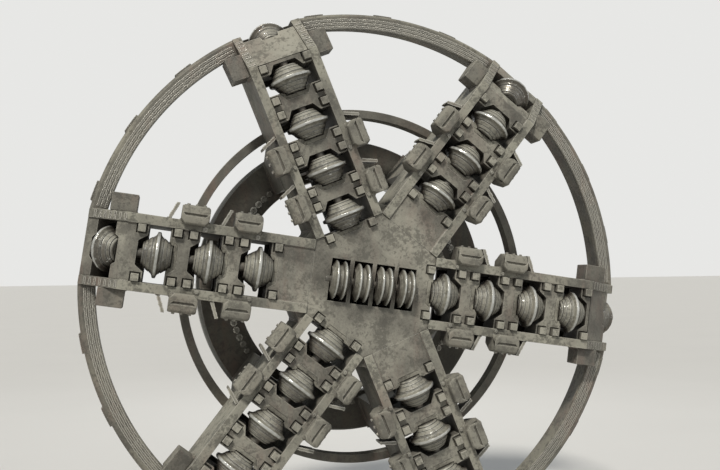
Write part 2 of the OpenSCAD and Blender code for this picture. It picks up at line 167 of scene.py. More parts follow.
def grid_faces(rows: int, cols: int, close_rows: bool) -> tuple[Vec, Vec]:
    """Quads between the neighbours of a grid of rows by cols points, numbered row by row.

    The last point of each row joins its first one.

    Args:
        rows: Number of rows of points.
        cols: Number of points in each row.
        close_rows: Whether the last row joins the first one.

    Returns:
        The quads, and their corners' texture coordinates, column share first and row share second.
    """
    i, j = np.meshgrid(np.arange(rows if close_rows else rows - 1), np.arange(cols), indexing="ij")
    corners = [(i, j), (i, j + 1), (i + 1, j + 1), (i + 1, j)]
    quads = np.stack([(a % rows) * cols + b % cols for a, b in corners], axis=-1).reshape(-1, 4)
    uvs = np.stack([np.stack([b / cols, a / rows], axis=-1) for a, b in corners], axis=-2).reshape(-1, 4, 2)
    return quads, uvs


def turned_shape(profile: Vec, segments: int, chips: Callable[[Vec, Vec], Vec] | None = None) -> Shape:
    """A ring turned round the X axis.

    The point at angle a is (x, r cos a, r sin a), for each x and r of the profile.

    Args:
        profile: Closed outline, with place along X and radius in each row, its outside going towards +X.
        segments: Number of steps round the axis.
        chips: Gives what is taken off the radius, from arrays of angles and of radii.

    Returns:
        A closed shape with no poles. Its texture coordinates are the radius as a share of the largest one,
        and the share of a turn.
    """
    angle = np.linspace(0, 2 * math.pi, segments, endpoint=False)[:, None]
    radius = np.broadcast_to(profile[None, :, 1], (segments, len(profile)))
    if chips is not None:
        radius = radius - chips(np.broadcast_to(angle, radius.shape), radius)
    along = np.broadcast_to(profile[None, :, 0], radius.shape)
    points = np.stack([along, radius * np.cos(angle), radius * np.sin(angle)], axis=-1)
    quads, uvs = grid_faces(segments, len(profile), close_rows=True)
    uvs[..., 0] = profile[quads % len(profile), 1] / profile[:, 1].max()
    return Shape(points.reshape(-1, 3), [quads], [uvs])


def swept_shape(sections: Vec) -> Shape:
    """A surface through a row of closed sections of as many points each, with a flat cap at both ends.

    Args:
        sections: Array of sections by points by three coordinates.

    Returns:
        A closed shape.
    """
    count, corners = sections.shape[:2]
    quads, uvs = grid_faces(count, corners, close_rows=False)
    loop = np.arange(corners)
    caps = np.stack([loop[::-1], loop + (count - 1) * corners])
    return Shape(sections.reshape(-1, 3), [quads, caps], [uvs, np.zeros(caps.shape + (2,))])


def arc_profile(points: Sequence[tuple[float, float]], radius: float, steps: int = 3) -> Vec:
    """A closed outline with each corner rounded by a quadratic curve between the sides that meet there.

    Args:
        points: Corners of the outline.
        radius: How far from a corner its curve begins, at most 0.45 of the shorter side.
        steps: Number of points on each curve.

    Returns:
        The rounded outline, steps points for each corner.
    """
    corner = np.asarray(points, float)
    before, after = np.roll(corner, 1, axis=0) - corner, np.roll(corner, -1, axis=0) - corner
    reach = [np.minimum(radius, 0.45 * np.linalg.norm(way, axis=1)) / np.linalg.norm(way, axis=1)
             for way in (before, after)]
    start, end = corner + before * reach[0][:, None], corner + after * reach[1][:, None]
    t = np.linspace(0, 1, steps)[None, :, None]
    curve = (1 - t) ** 2 * start[:, None] + 2 * t * (1 - t) * corner[:, None] + t ** 2 * end[:, None]
    return curve.reshape(-1, 2)


def waves(value: Vec, seed: int, count: int, low: float, high: float) -> Vec:
    """Smooth roughness along a line: a sum of sines with seeded frequencies and phases, about -1 to 1.

    Args:
        value: Places at which the roughness is worked out.
        seed: Seed of the frequencies and phases.
        count: Number of sines.
        low: Lowest frequency, in turns for each unit of value.
        high: Highest frequency.

    Returns:
        The roughness at each place.
    """
    rng = np.random.default_rng(seed)
    frequency = np.round(rng.uniform(low, high, count))
    phase = rng.uniform(0, 2 * math.pi, count)
    turns = 2 * math.pi * value[..., None] * frequency + phase
    return np.sin(turns).sum(axis=-1) / math.sqrt(count)


# Layout of the head

@dataclass(frozen=True)
class Layout:
    """Main sizes of the head, and the places that follow from them. Lengths are in metres.

    Attributes:
        arm_w: Width of an arm over both side plates.
        side_t: Thickness of a side plate.
        saddle_drop: How far the saddles lie below the side plates' front edges.
        front: Place of the side plates' front edges along Y.
        back: Place of their back edges.
        level: Largest part of a shaft's direction along Y if the shaft lies along its arm.
        arms: Numbers of the arms.
    """

    arm_w: float = 0.795
    side_t: float = 0.100
    saddle_drop: float = 0.020
    front: float = float(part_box("arm_side_plates")[0][1])
    back: float = float(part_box("arm_side_plates")[1][1])
    level: float = 0.01
    arms: range = range(1, 7)

    def plain_discs(self, arm: int) -> list[float]:
        """Distances from the axis of an arm's discs whose shafts lie along it.

        Args:
            arm: Number of the arm.

        Returns:
            The distances, the smallest first.
        """
        names = [joint["child"] for joint in frame["joints"] if joint["child"].startswith(f"disc_{arm}_")]
        plain = [name for name in names if abs(spin_axis(name)[1]) < self.level]
        return sorted(float(spin_centre(name) @ self.along(arm)) for name in plain)

    @property
    def half(self) -> float:
        """Half the width of an arm."""
        return self.arm_w / 2

    @property
    def inner(self) -> float:
        """Distance from an arm's middle to the inner face of a side plate."""
        return self.half - self.side_t

    @property
    def box_flat(self) -> float:
        """Distance from the axis to the flats of the six-sided centre box."""
        return self.arm_w * math.cos(math.radians(30))

    @property
    def saddle_y(self) -> float:
        """Place of the saddles' face along Y."""
        return self.front + self.saddle_drop

    def along(self, arm: int) -> Vec:
        """Direction of an arm, away from the axis, read from the shaft of its first disc."""
        return spin_axis(f"disc_{arm}_1")

    def across(self, arm: int) -> Vec:
        """Direction across an arm, towards its leading side."""
        return np.cross(self.along(arm), BACK_WAY)

    def place(self, arm: int, u: float, v: float, y: float) -> Vec:
        """A point of an arm: u along it, v across it and y along the head's axis.

        Args:
            arm: Number of the arm.
            u: Distance from the axis along the arm.
            v: Distance from the arm's middle towards its leading side.
            y: Place along the head's axis.

        Returns:
            The point in the head's own frame.
        """
        return self.along(arm) * u + self.across(arm) * v + np.array([0.0, y, 0.0])

    def sides(self, arm: int) -> list["ArmSide"]:
        """Both long sides of an arm, the leading one first."""
        return [ArmSide(self, arm, side) for side in Side]


@dataclass(frozen=True)
class ArmSide:
    """One long side of an arm.

    Attributes:
        layout: The layout of the head.
        arm: Number of the arm.
        side: Which of its sides it is.
    """

    layout: Layout
    arm: int
    side: Side

    @property
    def along(self) -> Vec:
        """Direction of the arm, away from the axis."""
        return self.layout.along(self.arm)

    @property
    def out(self) -> Vec:
        """Direction out of this side, across the arm."""
        return self.side.value * self.layout.across(self.arm)

    def at(self, u: float, v: float, y: float) -> Vec:
        """A point on this side of the arm.

        Args:
            u: Distance from the axis along the arm.
            v: Distance from the arm's middle towards this side.
            y: Place along the head's axis.

        Returns:
            The point in the head's own frame.
        """
        return self.layout.place(self.arm, u, self.side.value * v, y)


def spin_of(name: str) -> dict:
    """The joint that a cutter turns on."""
    return next(joint for joint in frame["joints"] if joint["child"] == name)


def spin_axis(name: str) -> Vec:
    """Direction of a cutter's shaft."""
    return np.array(spin_of(name)["axis"], float)


def spin_centre(name: str) -> Vec:
    """Centre of a cutter."""
    return np.array(spin_of(name)["pos_m"], float)


# Shader groups

class Graph:
    """Adds nodes to a node tree and links them."""

    def __init__(self, tree: bpy.types.NodeTree) -> None:
        """Keeps the tree that the nodes go into."""
        self.tree = tree

    def node(self, kind: str, settings: dict | None = None, **inputs: Value) -> bpy.types.Node:
        """Adds one node.

        Args:
            kind: Blender's name of the node's type, without its ShaderNode prefix.
            settings: Properties to set on the node.
            **inputs: Input values or sockets, named as the input with spaces as underscores.

        Returns:
            The node.
        """
        made = self.tree.nodes.new("ShaderNode" + kind)
        for name, value in (settings or {}).items():
            setattr(made, name, value)
        for name, value in inputs.items():
            self.feed(made.inputs[name.replace("_", " ")], value)
        return made

    def feed(self, socket: Socket, value: Value) -> None:
        """Links a socket to an input, or sets the input to a plain value.

        Args:
            socket: The input.
            value: What it gets.
        """
        if isinstance(value, bpy.types.NodeSocket):
            self.tree.links.new(value, socket)
        elif isinstance(value, tuple) and len(value) == 3 and socket.type == "RGBA":
            socket.default_value = (*value, 1.0)
        else:
            socket.default_value = value

    def math(self, operation: str, a: Value, b: Value, clamp: bool = False) -> Socket:
        """One arithmetic step on two values.

        Args:
            operation: Blender's name of the step.
            a: First value.
            b: Second value.
            clamp: Whether the result is kept between 0 and 1.

        Returns:
            The result's socket.
        """
        made = self.tree.nodes.new("ShaderNodeMath")
        made.operation, made.use_clamp = operation, clamp
        self.feed(made.inputs[0], a)
        self.feed(made.inputs[1], b)
        return made.outputs[0]

    def weigh(self, *parts: tuple[Value, float]) -> Socket:
        """Adds up values, each multiplied by its weight.

        Args:
            *parts: A value and its weight each. A weight of exactly 1 takes no node.

        Returns:
            The sum's socket.
        """
        total = None
        for value, weight in parts:
            part = value if weight == 1.0 else self.math("MULTIPLY", value, weight)
            total = part if total is None else self.math("ADD", total, part)
        return total

    def cover(self, value: Value, amount: Value, below: float, above: float) -> Socket:
        """A mask of the places where a value is high, which grow with an amount.

        Args:
            value: The value, often noise between 0 and 1.
            amount: How much of its range the mask covers.
            below: Where the mask begins, from 1 - amount.
            above: Where it is full, from 1 - amount.

        Returns:
            The mask's socket.
        """
        edge = self.math("SUBTRACT", 1.0, amount)
        return self.steps(value, self.math("ADD", edge, below), self.math("ADD", edge, above))

    def mix(self, share: Value, a: Value, b: Value) -> Socket:
        """A colour between two others.

        Args:
            share: Share of the second colour.
            a: First colour.
            b: Second colour.

        Returns:
            The colour's socket.
        """
        made = self.tree.nodes.new("ShaderNodeMix")
        made.data_type = "RGBA"
        self.feed(made.inputs[0], share)
        self.feed(made.inputs[6], a)
        self.feed(made.inputs[7], b)
        return made.outputs[2]

    def steps(self, value: Value, low: Value, high: Value, to_low: float = 0.0,
              to_high: float = 1.0) -> Socket:
        """A smooth step from to_low to to_high as a value goes from low to high.

        Args:
            value: The value.
            low: Where the step begins.
            high: Where it ends.
            to_low: Result below the step.
            to_high: Result above it.

        Returns:
            The result's socket.
        """
        made = self.node("MapRange", {"interpolation_type": "SMOOTHSTEP"}, Value=value,
                         From_Min=low, From_Max=high, To_Min=to_low, To_Max=to_high)
        return made.outputs[0]

    def noise(self, place: Socket, scale: Value, detail: float = 4.0, roughness: float = 0.55) -> Socket:
        """Noise between 0 and 1 at a place."""
        made = self.node("TexNoise", None, Vector=place, Scale=scale, Detail=detail, Roughness=roughness)
        return made.outputs["Fac"]

    def place(self, stretch: tuple[float, float, float] = (1.0, 1.0, 1.0)) -> Socket:
        """Object coordinates, multiplied by a factor for each axis.

        Args:
            stretch: The factors.

        Returns:
            The coordinates' socket.
        """
        coords = self.node("TexCoord").outputs["Object"]
        if stretch == (1.0, 1.0, 1.0):
            return coords
        return self.node("Mapping", None, Vector=coords, Scale=stretch).outputs[0]


@dataclass(frozen=True)
class EffectGroup:
    """A shader node group that several finishes share.

    Attributes:
        name: The group's name.
        inputs: Names and default values of its inputs.
        outputs: Names of its outputs, all plain values.
        fill: Adds the nodes, given the graph and the inputs by name, and returns the outputs' sockets.
    """

    name: str
    inputs: dict[str, float]
    outputs: tuple[str, ...]
    fill: Callable[[Graph, Inputs], Sockets]

    def build(self) -> bpy.types.NodeTree:
        """Makes the group once, and gives it back after that.

        Returns:
            The group's node tree.
        """
        if self.name in bpy.data.node_groups:
            return bpy.data.node_groups[self.name]
        tree = bpy.data.node_groups.new(self.name, "ShaderNodeTree")
        for name, value in self.inputs.items():
            made = tree.interface.new_socket(name, in_out="INPUT", socket_type="NodeSocketFloat")
            made.default_value = value
        for name in self.outputs:
            tree.interface.new_socket(name, in_out="OUTPUT", socket_type="NodeSocketFloat")
        graph = Graph(tree)
        start, end = tree.nodes.new("NodeGroupInput"), tree.nodes.new("NodeGroupOutput")
        made = self.fill(graph, {name: start.outputs[name] for name in self.inputs})
        for name, socket in zip(self.outputs, made):
            tree.links.new(socket, end.inputs[name])
        return tree

    def use(self, graph: Graph, **values: float) -> dict[str, Socket]:
        """Places the group in a material.

        Args:
            graph: The material's graph.
            **values: Values for its inputs.

        Returns:
            Its output sockets by name.
        """
        made = graph.tree.nodes.new("ShaderNodeGroup")
        made.node_tree = self.build()
        for name, value in values.items():
            made.inputs[name].default_value = value
        return {name: made.outputs[name] for name in self.outputs}


def fill_dust(graph: Graph, given: Inputs) -> Sockets:
    """Dust lies on faces that look up, on what stands out of the face, and in patches everywhere else.

    Its pull to faces that look up is partly painted light: upper sides paler, undersides darker.

    Args:
        graph: The group's graph.
        given: The group's inputs.

    Returns:
        The dust's mask.
    """
    normal = graph.node("SeparateXYZ", None, Vector=graph.node("TexCoord").outputs["Normal"])
    # Partly painted light: faces that look up get more pale dust, so upper sides read lighter and
    # undersides darker.
    up = graph.steps(normal.outputs["Z"], low=-0.2, high=0.9)
    depth = graph.node("SeparateXYZ", None, Vector=graph.place()).outputs["Y"]
    front = Layout().front
    proud = graph.steps(depth, low=front + 0.016, high=front - 0.006)
    patches = graph.noise(graph.place(), given["Scale"], detail=6.0, roughness=0.6)
    fine = graph.noise(graph.place(), scale=55.0, detail=3.0, roughness=0.65)
    spread = graph.weigh((up, 0.24), (patches, 1.0), (proud, 0.14), (fine, 0.16))
    return (graph.cover(spread, given["Amount"], below=-0.06, above=0.30),)


def fill_rust(graph: Graph, given: Inputs) -> Sockets:
    """Rust comes as broad patches and as stains that run down.

    Args:
        graph: The group's graph.
        given: The group's inputs.

    Returns:
        The rust's mask.
    """
    patches = graph.noise(graph.place(), given["Scale"], detail=5.0, roughness=0.62)
    runs = graph.noise(graph.place((9.0, 9.0, 0.9)), given["Scale"], detail=3.0, roughness=0.5)
    both = graph.weigh((patches, 0.65), (runs, 0.35))
    return (graph.cover(both, given["Amount"], below=-0.10, above=0.16),)


def fill_wear(graph: Graph, given: Inputs) -> Sockets:
    """Edges are rubbed where a rounded normal turns away from the face's own, broken up by noise.

    Args:
        graph: The group's graph.
        given: The group's inputs.

    Returns:
        The rubbed edges' mask.
    """
    rounded = graph.node("Bevel", {"samples": 4}, Radius=given["Radius"]).outputs[0]
    own = graph.node("NewGeometry").outputs["Normal"]
    facing = graph.node("VectorMath", {"operation": "DOT_PRODUCT"})
    graph.feed(facing.inputs[0], rounded)
    graph.feed(facing.inputs[1], own)
    turn = graph.math("SUBTRACT", 1.0, facing.outputs["Value"])
    chipped = graph.noise(graph.place(), scale=14.0, detail=5.0, roughness=0.7)
    broken = graph.weigh((turn, 1.0), (chipped, 0.10))
    return (graph.math("MULTIPLY", graph.steps(broken, low=0.07, high=0.17), given["Amount"]),)


def fill_painted_shade(graph: Graph, given: Inputs) -> Sockets:
    """Painted shade: the colour darkens where little open space lies round a point, found by ambient
    occlusion.

    Args:
        graph: The group's graph.
        given: The group's inputs.

    Returns:
        The painted shade's mask.
    """
    # Painted shade: ambient occlusion darkens corners and hollows.
    closed = graph.node("AmbientOcclusion", {"samples": 4}, Distance=given["Distance"]).outputs["AO"]
    mottled = graph.weigh((closed, 1.0), (graph.noise(graph.place(), scale=7.0), 0.25))
    return (graph.math("MULTIPLY", graph.steps(mottled, low=0.95, high=0.35), given["Amount"]),)


def fill_grain(graph: Graph, given: Inputs) -> Sockets:
    """A rough skin of coarse flaking and fine grit.

    Args:
        graph: The group's graph.
        given: The group's inputs.

    Returns:
        A value for colour, and the same one as a height for bump.
    """
    coarse = graph.noise(graph.place(), given["Scale"], detail=6.0, roughness=0.6)
    fine_scale = graph.math("MULTIPLY", given["Scale"], 9.0)
    fine = graph.noise(graph.place(), fine_scale, detail=3.0, roughness=0.7)
    value = graph.weigh((coarse, 0.6), (fine, 0.4))
    return value, value


def fill_grit(graph: Graph, given: Inputs) -> Sockets:
    """Dark pits and scabs of a few centimetres, thicker in some areas than in others.

    Args:
        graph: The group's graph.
        given: The group's inputs.

    Returns:
        The grit's mask.
    """
    spots = graph.noise(graph.place(), given["Scale"], detail=4.0, roughness=0.72)
    broad_scale = graph.math("MULTIPLY", given["Scale"], 0.2)
    areas = graph.noise(graph.place(), broad_scale, detail=3.0, roughness=0.5)
    both = graph.weigh((spots, 0.6), (areas, 0.4))
    return (graph.cover(both, given["Amount"], below=-0.03, above=0.08),)


def fill_turning(graph: Graph, given: Inputs) -> Sockets:
    """Fine marks round a turned piece, with a polish on its largest radius and painted glints on spots.

    Args:
        graph: The group's graph.
        given: The group's inputs.

    Returns:
        The marks' value and the mask of the polish and the painted glints. The radius is read from the
        piece's texture coordinates.
    """
    coords = graph.node("TexCoord").outputs["UV"]
    stretched = graph.node("Mapping", None, Vector=coords, Scale=(90.0, 2.0, 1.0)).outputs[0]
    share = graph.node("SeparateXYZ", None, Vector=coords).outputs["X"]
    uneven = graph.noise(graph.place(), scale=16.0, detail=4.0, roughness=0.7)
    polished = graph.steps(graph.weigh((share, 1.0), (uneven, 0.050)), low=1.006, high=1.026)
    # Painted glints: small noise spots that take the bright bare colour, as highlights would.
    spots = graph.noise(graph.place(), scale=34.0, detail=2.0, roughness=0.5)
    polish = graph.math("MAXIMUM", polished, graph.steps(spots, low=0.66, high=0.70))
    return graph.noise(stretched, given["Scale"], detail=4.0, roughness=0.6), polish


DUST = EffectGroup("dust_cover", {"Amount": 0.5, "Scale": 1.6}, ("Mask",), fill_dust)
RUST = EffectGroup("rust_tint", {"Amount": 0.4, "Scale": 1.3}, ("Mask",), fill_rust)
WEAR = EffectGroup("rubbed_edges", {"Radius": 0.012, "Amount": 0.7}, ("Mask",), fill_wear)
# Painted shade in corners and hollows.
CORNER_SHADE = EffectGroup("corner_grime", {"Distance": 0.36, "Amount": 0.6}, ("Mask",), fill_painted_shade)
GRAIN = EffectGroup("steel_grain", {"Scale": 22.0}, ("Value", "Height"), fill_grain)
GRIT = EffectGroup("dark_grit", {"Scale": 24.0, "Amount": 0.5}, ("Mask",), fill_grit)
TURNING = EffectGroup("turning_marks", {"Scale": 3.0}, ("Value", "Polish"), fill_turning)


@dataclass(frozen=True)
class Finish:
    """The finish of one kind of steel on the head. Colours are linear.

    Attributes:
        name: The material's name.
        slot: The record's material slot. Not used.
        steel: Colour of the bare or painted face.
        shade: Colour of its darker patches.
        dust: Colour of the dust on it.
        rust: Colour of its rust.
        bare: Colour of rubbed edges, and of the painted glints on turned pieces.
        dusty: Share of dust, from 0 to 1.
        rusty: Share of rust, from 0 to 1.
        rubbed: How strongly the edges are rubbed bright.
        painted_shade: How dark the painted shade in corners and hollows is.
        painted_shade_colour: Colour of the painted shade in corners and hollows.
        gritty: How strongly dark grit breaks up the colour.
        painted_shade_colour: Colour of the dark corners.
        dull: Roughness of the dust.
        rough: Roughness of the face.
        metal: Metallic value of the face.
        grain: Scale of the skin's grain.
        bump: Depth of the skin's grain in metres.
        turned: Whether fine marks run round the piece, with a polished tip and painted glints.
        marks: Share of these marks in the mottle.
        stained: Share of the rust's colour where it is thickest.
        covered: Share of the dust's colour where it is thickest.
        pit: Brightness of the grit, as a share of the darker patches.
        pit_depth: Depth of the grit, as a share of the skin's grain.
        polish: How much smoother rubbed steel is.
        shine: How much more metallic rubbed steel is.
        relief: Strength of the bump.
    """

    name: str
    slot: str
    steel: Colour = (0.205, 0.198, 0.164)
    shade: Colour = (0.095, 0.090, 0.076)
    dust: Colour = (0.310, 0.298, 0.244)
    rust: Colour = (0.200, 0.132, 0.102)
    bare: Colour = (0.480, 0.465, 0.410)
    dusty: float = 0.46
    rusty: float = 0.44
    rubbed: float = 0.65
    # Strength of the painted shade in corners and hollows.
    painted_shade: float = 0.65
    gritty: float = 0.62
    # Colour of the painted shade in corners and hollows.
    painted_shade_colour: Colour = (0.034, 0.028, 0.022)
    dull: float = 0.92
    rough: float = 0.62
    metal: float = 0.10
    grain: float = 22.0
    bump: float = 0.003
    turned: bool = False
    marks: float = 0.4
    stained: float = 0.75
    covered: float = 0.85
    pit: float = 0.45
    pit_depth: float = 0.35
    polish: float = 0.40
    shine: float = 0.35
    relief: float = 0.6

    def build(self) -> bpy.types.Material:
        """Makes the material once, and gives it back after that.

        Returns:
            The material.
        """
        if self.name in bpy.data.materials:
            return bpy.data.materials[self.name]
        material = bpy.data.materials.new(self.name)
        material.use_nodes = True
        graph = Graph(material.node_tree)
        shader = material.node_tree.nodes["Principled BSDF"]
        grain = GRAIN.use(graph, Scale=self.grain)
        dust = DUST.use(graph, Amount=self.dusty)["Mask"]
        rust = RUST.use(graph, Amount=self.rusty)["Mask"]
        wear_and_glints = WEAR.use(graph, Amount=self.rubbed)["Mask"]
        # Mask of the painted shade in corners and hollows.
        shade_mask = CORNER_SHADE.use(graph, Amount=self.painted_shade)["Mask"]
        grit = GRIT.use(graph, Scale=self.grain)["Mask"]
        mottle = graph.steps(grain["Value"], low=0.35, high=0.65)
        if self.turned:
            turning = TURNING.use(graph)
            mottle = graph.weigh((mottle, 1.0 - self.marks), (turning["Value"], self.marks))
            # Turned pieces add their polished tip and their painted glints to the rubbed edges.
            wear_and_glints = graph.math("MAXIMUM", wear_and_glints, turning["Polish"])
        colour = graph.mix(mottle, self.shade, self.steel)
        colour = graph.mix(graph.math("MULTIPLY", rust, self.stained), colour, self.rust)
        # Dust; its pull to faces that look up is partly painted light.
        colour = graph.mix(graph.math("MULTIPLY", dust, self.covered), colour, self.dust)
        pits = tuple(self.pit * part for part in self.shade)
        colour = graph.mix(graph.math("MULTIPLY", grit, self.gritty), colour, pits)
        # Rubbed edges take the bare colour, and on turned pieces so do the painted glints.
        colour = graph.mix(wear_and_glints, colour, self.bare)
        # Painted shade darkens corners and hollows.
        colour = graph.mix(shade_mask, colour, self.painted_shade_colour)
        graph.feed(shader.inputs["Base Color"], colour)
        rough = graph.steps(dust, 0.0, 1.0, self.rough, self.dull)
        rough = graph.math("SUBTRACT", rough, graph.math("MULTIPLY", wear_and_glints, self.polish))
        graph.feed(shader.inputs["Roughness"], rough)
        metal = graph.math("MULTIPLY", graph.math("SUBTRACT", 1.0, dust), self.metal)
        metal = graph.math("ADD", metal, graph.math("MULTIPLY", wear_and_glints, self.shine), clamp=True)
        graph.feed(shader.inputs["Metallic"], metal)
        height = graph.math("SUBTRACT", grain["Height"], graph.math("MULTIPLY", grit, self.pit_depth))
        bump = graph.node("Bump", None, Strength=self.relief, Distance=self.bump, Height=height)
        graph.feed(shader.inputs["Normal"], bump.outputs[0])
        return material


FACE = Finish("face_plate_steel", "face_steel", steel=(0.222, 0.215, 0.178), dust=(0.335, 0.324, 0.266))
# Saddles: steel darker than the side plates', partly painted shade for the saddles recessed between them.
SADDLE = Finish(
    "saddle_steel", "face_steel", steel=(0.180, 0.172, 0.143), shade=(0.078, 0.072, 0.060),
    dust=(0.360, 0.347, 0.288), dusty=0.48, rust=(0.175, 0.114, 0.090), rusty=0.45, gritty=0.55,
)
FRAME = Finish(
    "frame_plate_steel", "frame_steel", steel=(0.165, 0.157, 0.130), dust=(0.240, 0.229, 0.186),
    dusty=0.40, rusty=0.46, rubbed=0.35, gritty=0.5,
)
RIM = Finish(
    "rim_plate_steel", "rim_steel", steel=(0.190, 0.180, 0.146), dust=(0.265, 0.252, 0.202),
    dusty=0.42, rubbed=0.75,
)
HARD = Finish(
    "hard_facing", "wear_steel", steel=(0.165, 0.155, 0.128), dust=(0.250, 0.238, 0.195),
    grain=34.0, bump=0.010, dusty=0.38, rubbed=0.8,
)
TOOTH = Finish(
    "scraper_steel_cast", "scraper_steel", steel=(0.190, 0.181, 0.148), dust=(0.265, 0.254, 0.210),
    rust=(0.215, 0.150, 0.112), rubbed=0.6, grain=30.0, bump=0.005, gritty=0.5,
)
# Cutter rings: pale dust against darker steel is partly painted light, upper faces paler and undersides
# darker. The slightly bluish bare colour is partly a painted reflection of polished steel. The strong
# corner darkening is painted shade in the hollows round the hubs.
RING = Finish(
    "cutter_ring_steel", "cutter_steel", steel=(0.155, 0.145, 0.120), shade=(0.080, 0.071, 0.060),
    dust=(0.300, 0.290, 0.238), bare=(0.460, 0.462, 0.435), dusty=0.44, rusty=0.40, rough=0.36, dull=0.58,
    metal=0.45, grain=26.0, bump=0.003, rubbed=0.55, painted_shade=0.95, gritty=0.55, turned=True,
)
SHAFT = Finish(
    "shaft_steel_turned", "shaft_steel", steel=(0.18, 0.17, 0.148), dusty=0.38, rough=0.5, metal=0.3,
)
BEARING = Finish(
    "bearing_steel_ground", "bearing_steel", steel=(0.34, 0.34, 0.32), shade=(0.24, 0.24, 0.22),
    bare=(0.5, 0.5, 0.48), dusty=0.26, rusty=0.30, rough=0.34, metal=0.75, grain=12.0, bump=0.0006,
    painted_shade=0.4, gritty=0.12,
)
COUPLING = Finish(
    "coupling_grey_paint", "coupling_steel", steel=(0.20, 0.22, 0.235), shade=(0.15, 0.165, 0.175),
    dusty=0.34, rusty=0.32, rough=0.5, grain=9.0, bump=0.0008, gritty=0.25,
)
# Paler than the scraper steel: rubbed hard-facing, and partly a painted highlight for the ribs' lit front
# edges.
FACING = Finish(
    "rubbed_facing", "wear_steel", steel=(0.300, 0.290, 0.245), dust=(0.350, 0.340, 0.285),
    grain=40.0, bump=0.004, painted_shade=0.15, rubbed=0.9, gritty=0.3,
)
WELD = Finish(
    "weld_bead", "frame_steel", steel=(0.165, 0.155, 0.130), shade=(0.095, 0.085, 0.072),
    dust=(0.250, 0.238, 0.195), dusty=0.36, rusty=0.50, rubbed=0.5, grain=60.0, bump=0.0015, gritty=0.4,
)
DIRT = Finish(
    "caked_dirt", "face_steel", steel=(0.198, 0.186, 0.151), shade=(0.098, 0.091, 0.075),
    dust=(0.330, 0.317, 0.262), dusty=0.50, painted_shade=0.45, rusty=0.30, rubbed=0.0, rough=0.95, metal=0.0,
    grain=30.0, bump=0.004,
)
BOLT = Finish(
    "bolt_steel", "shaft_steel", steel=(0.26, 0.25, 0.22), dusty=0.36, rusty=0.42, rough=0.40, metal=0.5,
    rubbed=0.9, grain=40.0, bump=0.0006, gritty=0.3,
)


# Pieces

def wrapped(name: str, mesh: bpy.types.Mesh, finish: Finish, body: str, sharp: float) -> bpy.types.Object:
    """Makes an object of a mesh, dresses it and lets it ride on a body.

    Args:
        name: The object's name.
        mesh: Its mesh.
        finish: Its finish.
        body: The body that it rides on.
        sharp: Angle in degrees over which an edge stays sharp.

    Returns:
        The new object.
    """
    mesh.polygons.foreach_set("use_smooth", np.ones(len(mesh.polygons), bool))
    mesh.set_sharp_from_angle(angle=math.radians(sharp))
    mesh.materials.append(finish.build())
    piece = bpy.data.objects.new(name, mesh)
    bpy.context.scene.collection.objects.link(piece)
    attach(piece, body)
    return piece


def make_piece(name: str, shape: Shape, finish: Finish, body: str, sharp: float) -> bpy.types.Object:
    """Puts a shape into a mesh object at the origin.

    Args:
        name: The piece's name.
        shape: Its points and faces.
        finish: Its finish.
        body: The body that it rides on.
        sharp: Angle in degrees over which an edge stays sharp.

    Returns:
        The new object.
    """
    mesh = bpy.data.meshes.new(name)
    corners = np.concatenate([face.ravel() for face in shape.faces]).astype(np.int32)
    sizes = np.concatenate([np.full(len(face), face.shape[1]) for face in shape.faces]).astype(np.int32)
    starts = np.concatenate([[0], np.cumsum(sizes)[:-1]]).astype(np.int32)
    coords = np.concatenate([uv.reshape(-1, 2) for uv in shape.uvs]).astype(np.float32)
    mesh.vertices.add(len(shape.points))
    mesh.vertices.foreach_set("co", shape.points.astype(np.float32).ravel())
    mesh.loops.add(len(corners))
    mesh.loops.foreach_set("vertex_index", corners)
    mesh.polygons.add(len(sizes))
    mesh.polygons.foreach_set("loop_start", starts)
    mesh.polygons.foreach_set("loop_total", sizes)
    mesh.update(calc_edges=True)
    layer = mesh.uv_layers.new(name="UVMap")
    layer.data.foreach_set("uv", coords.ravel())
    mesh.validate()
    log.info("%s: %d points on %s", name, len(mesh.vertices), body)
    return wrapped(name, mesh, finish, body, sharp)


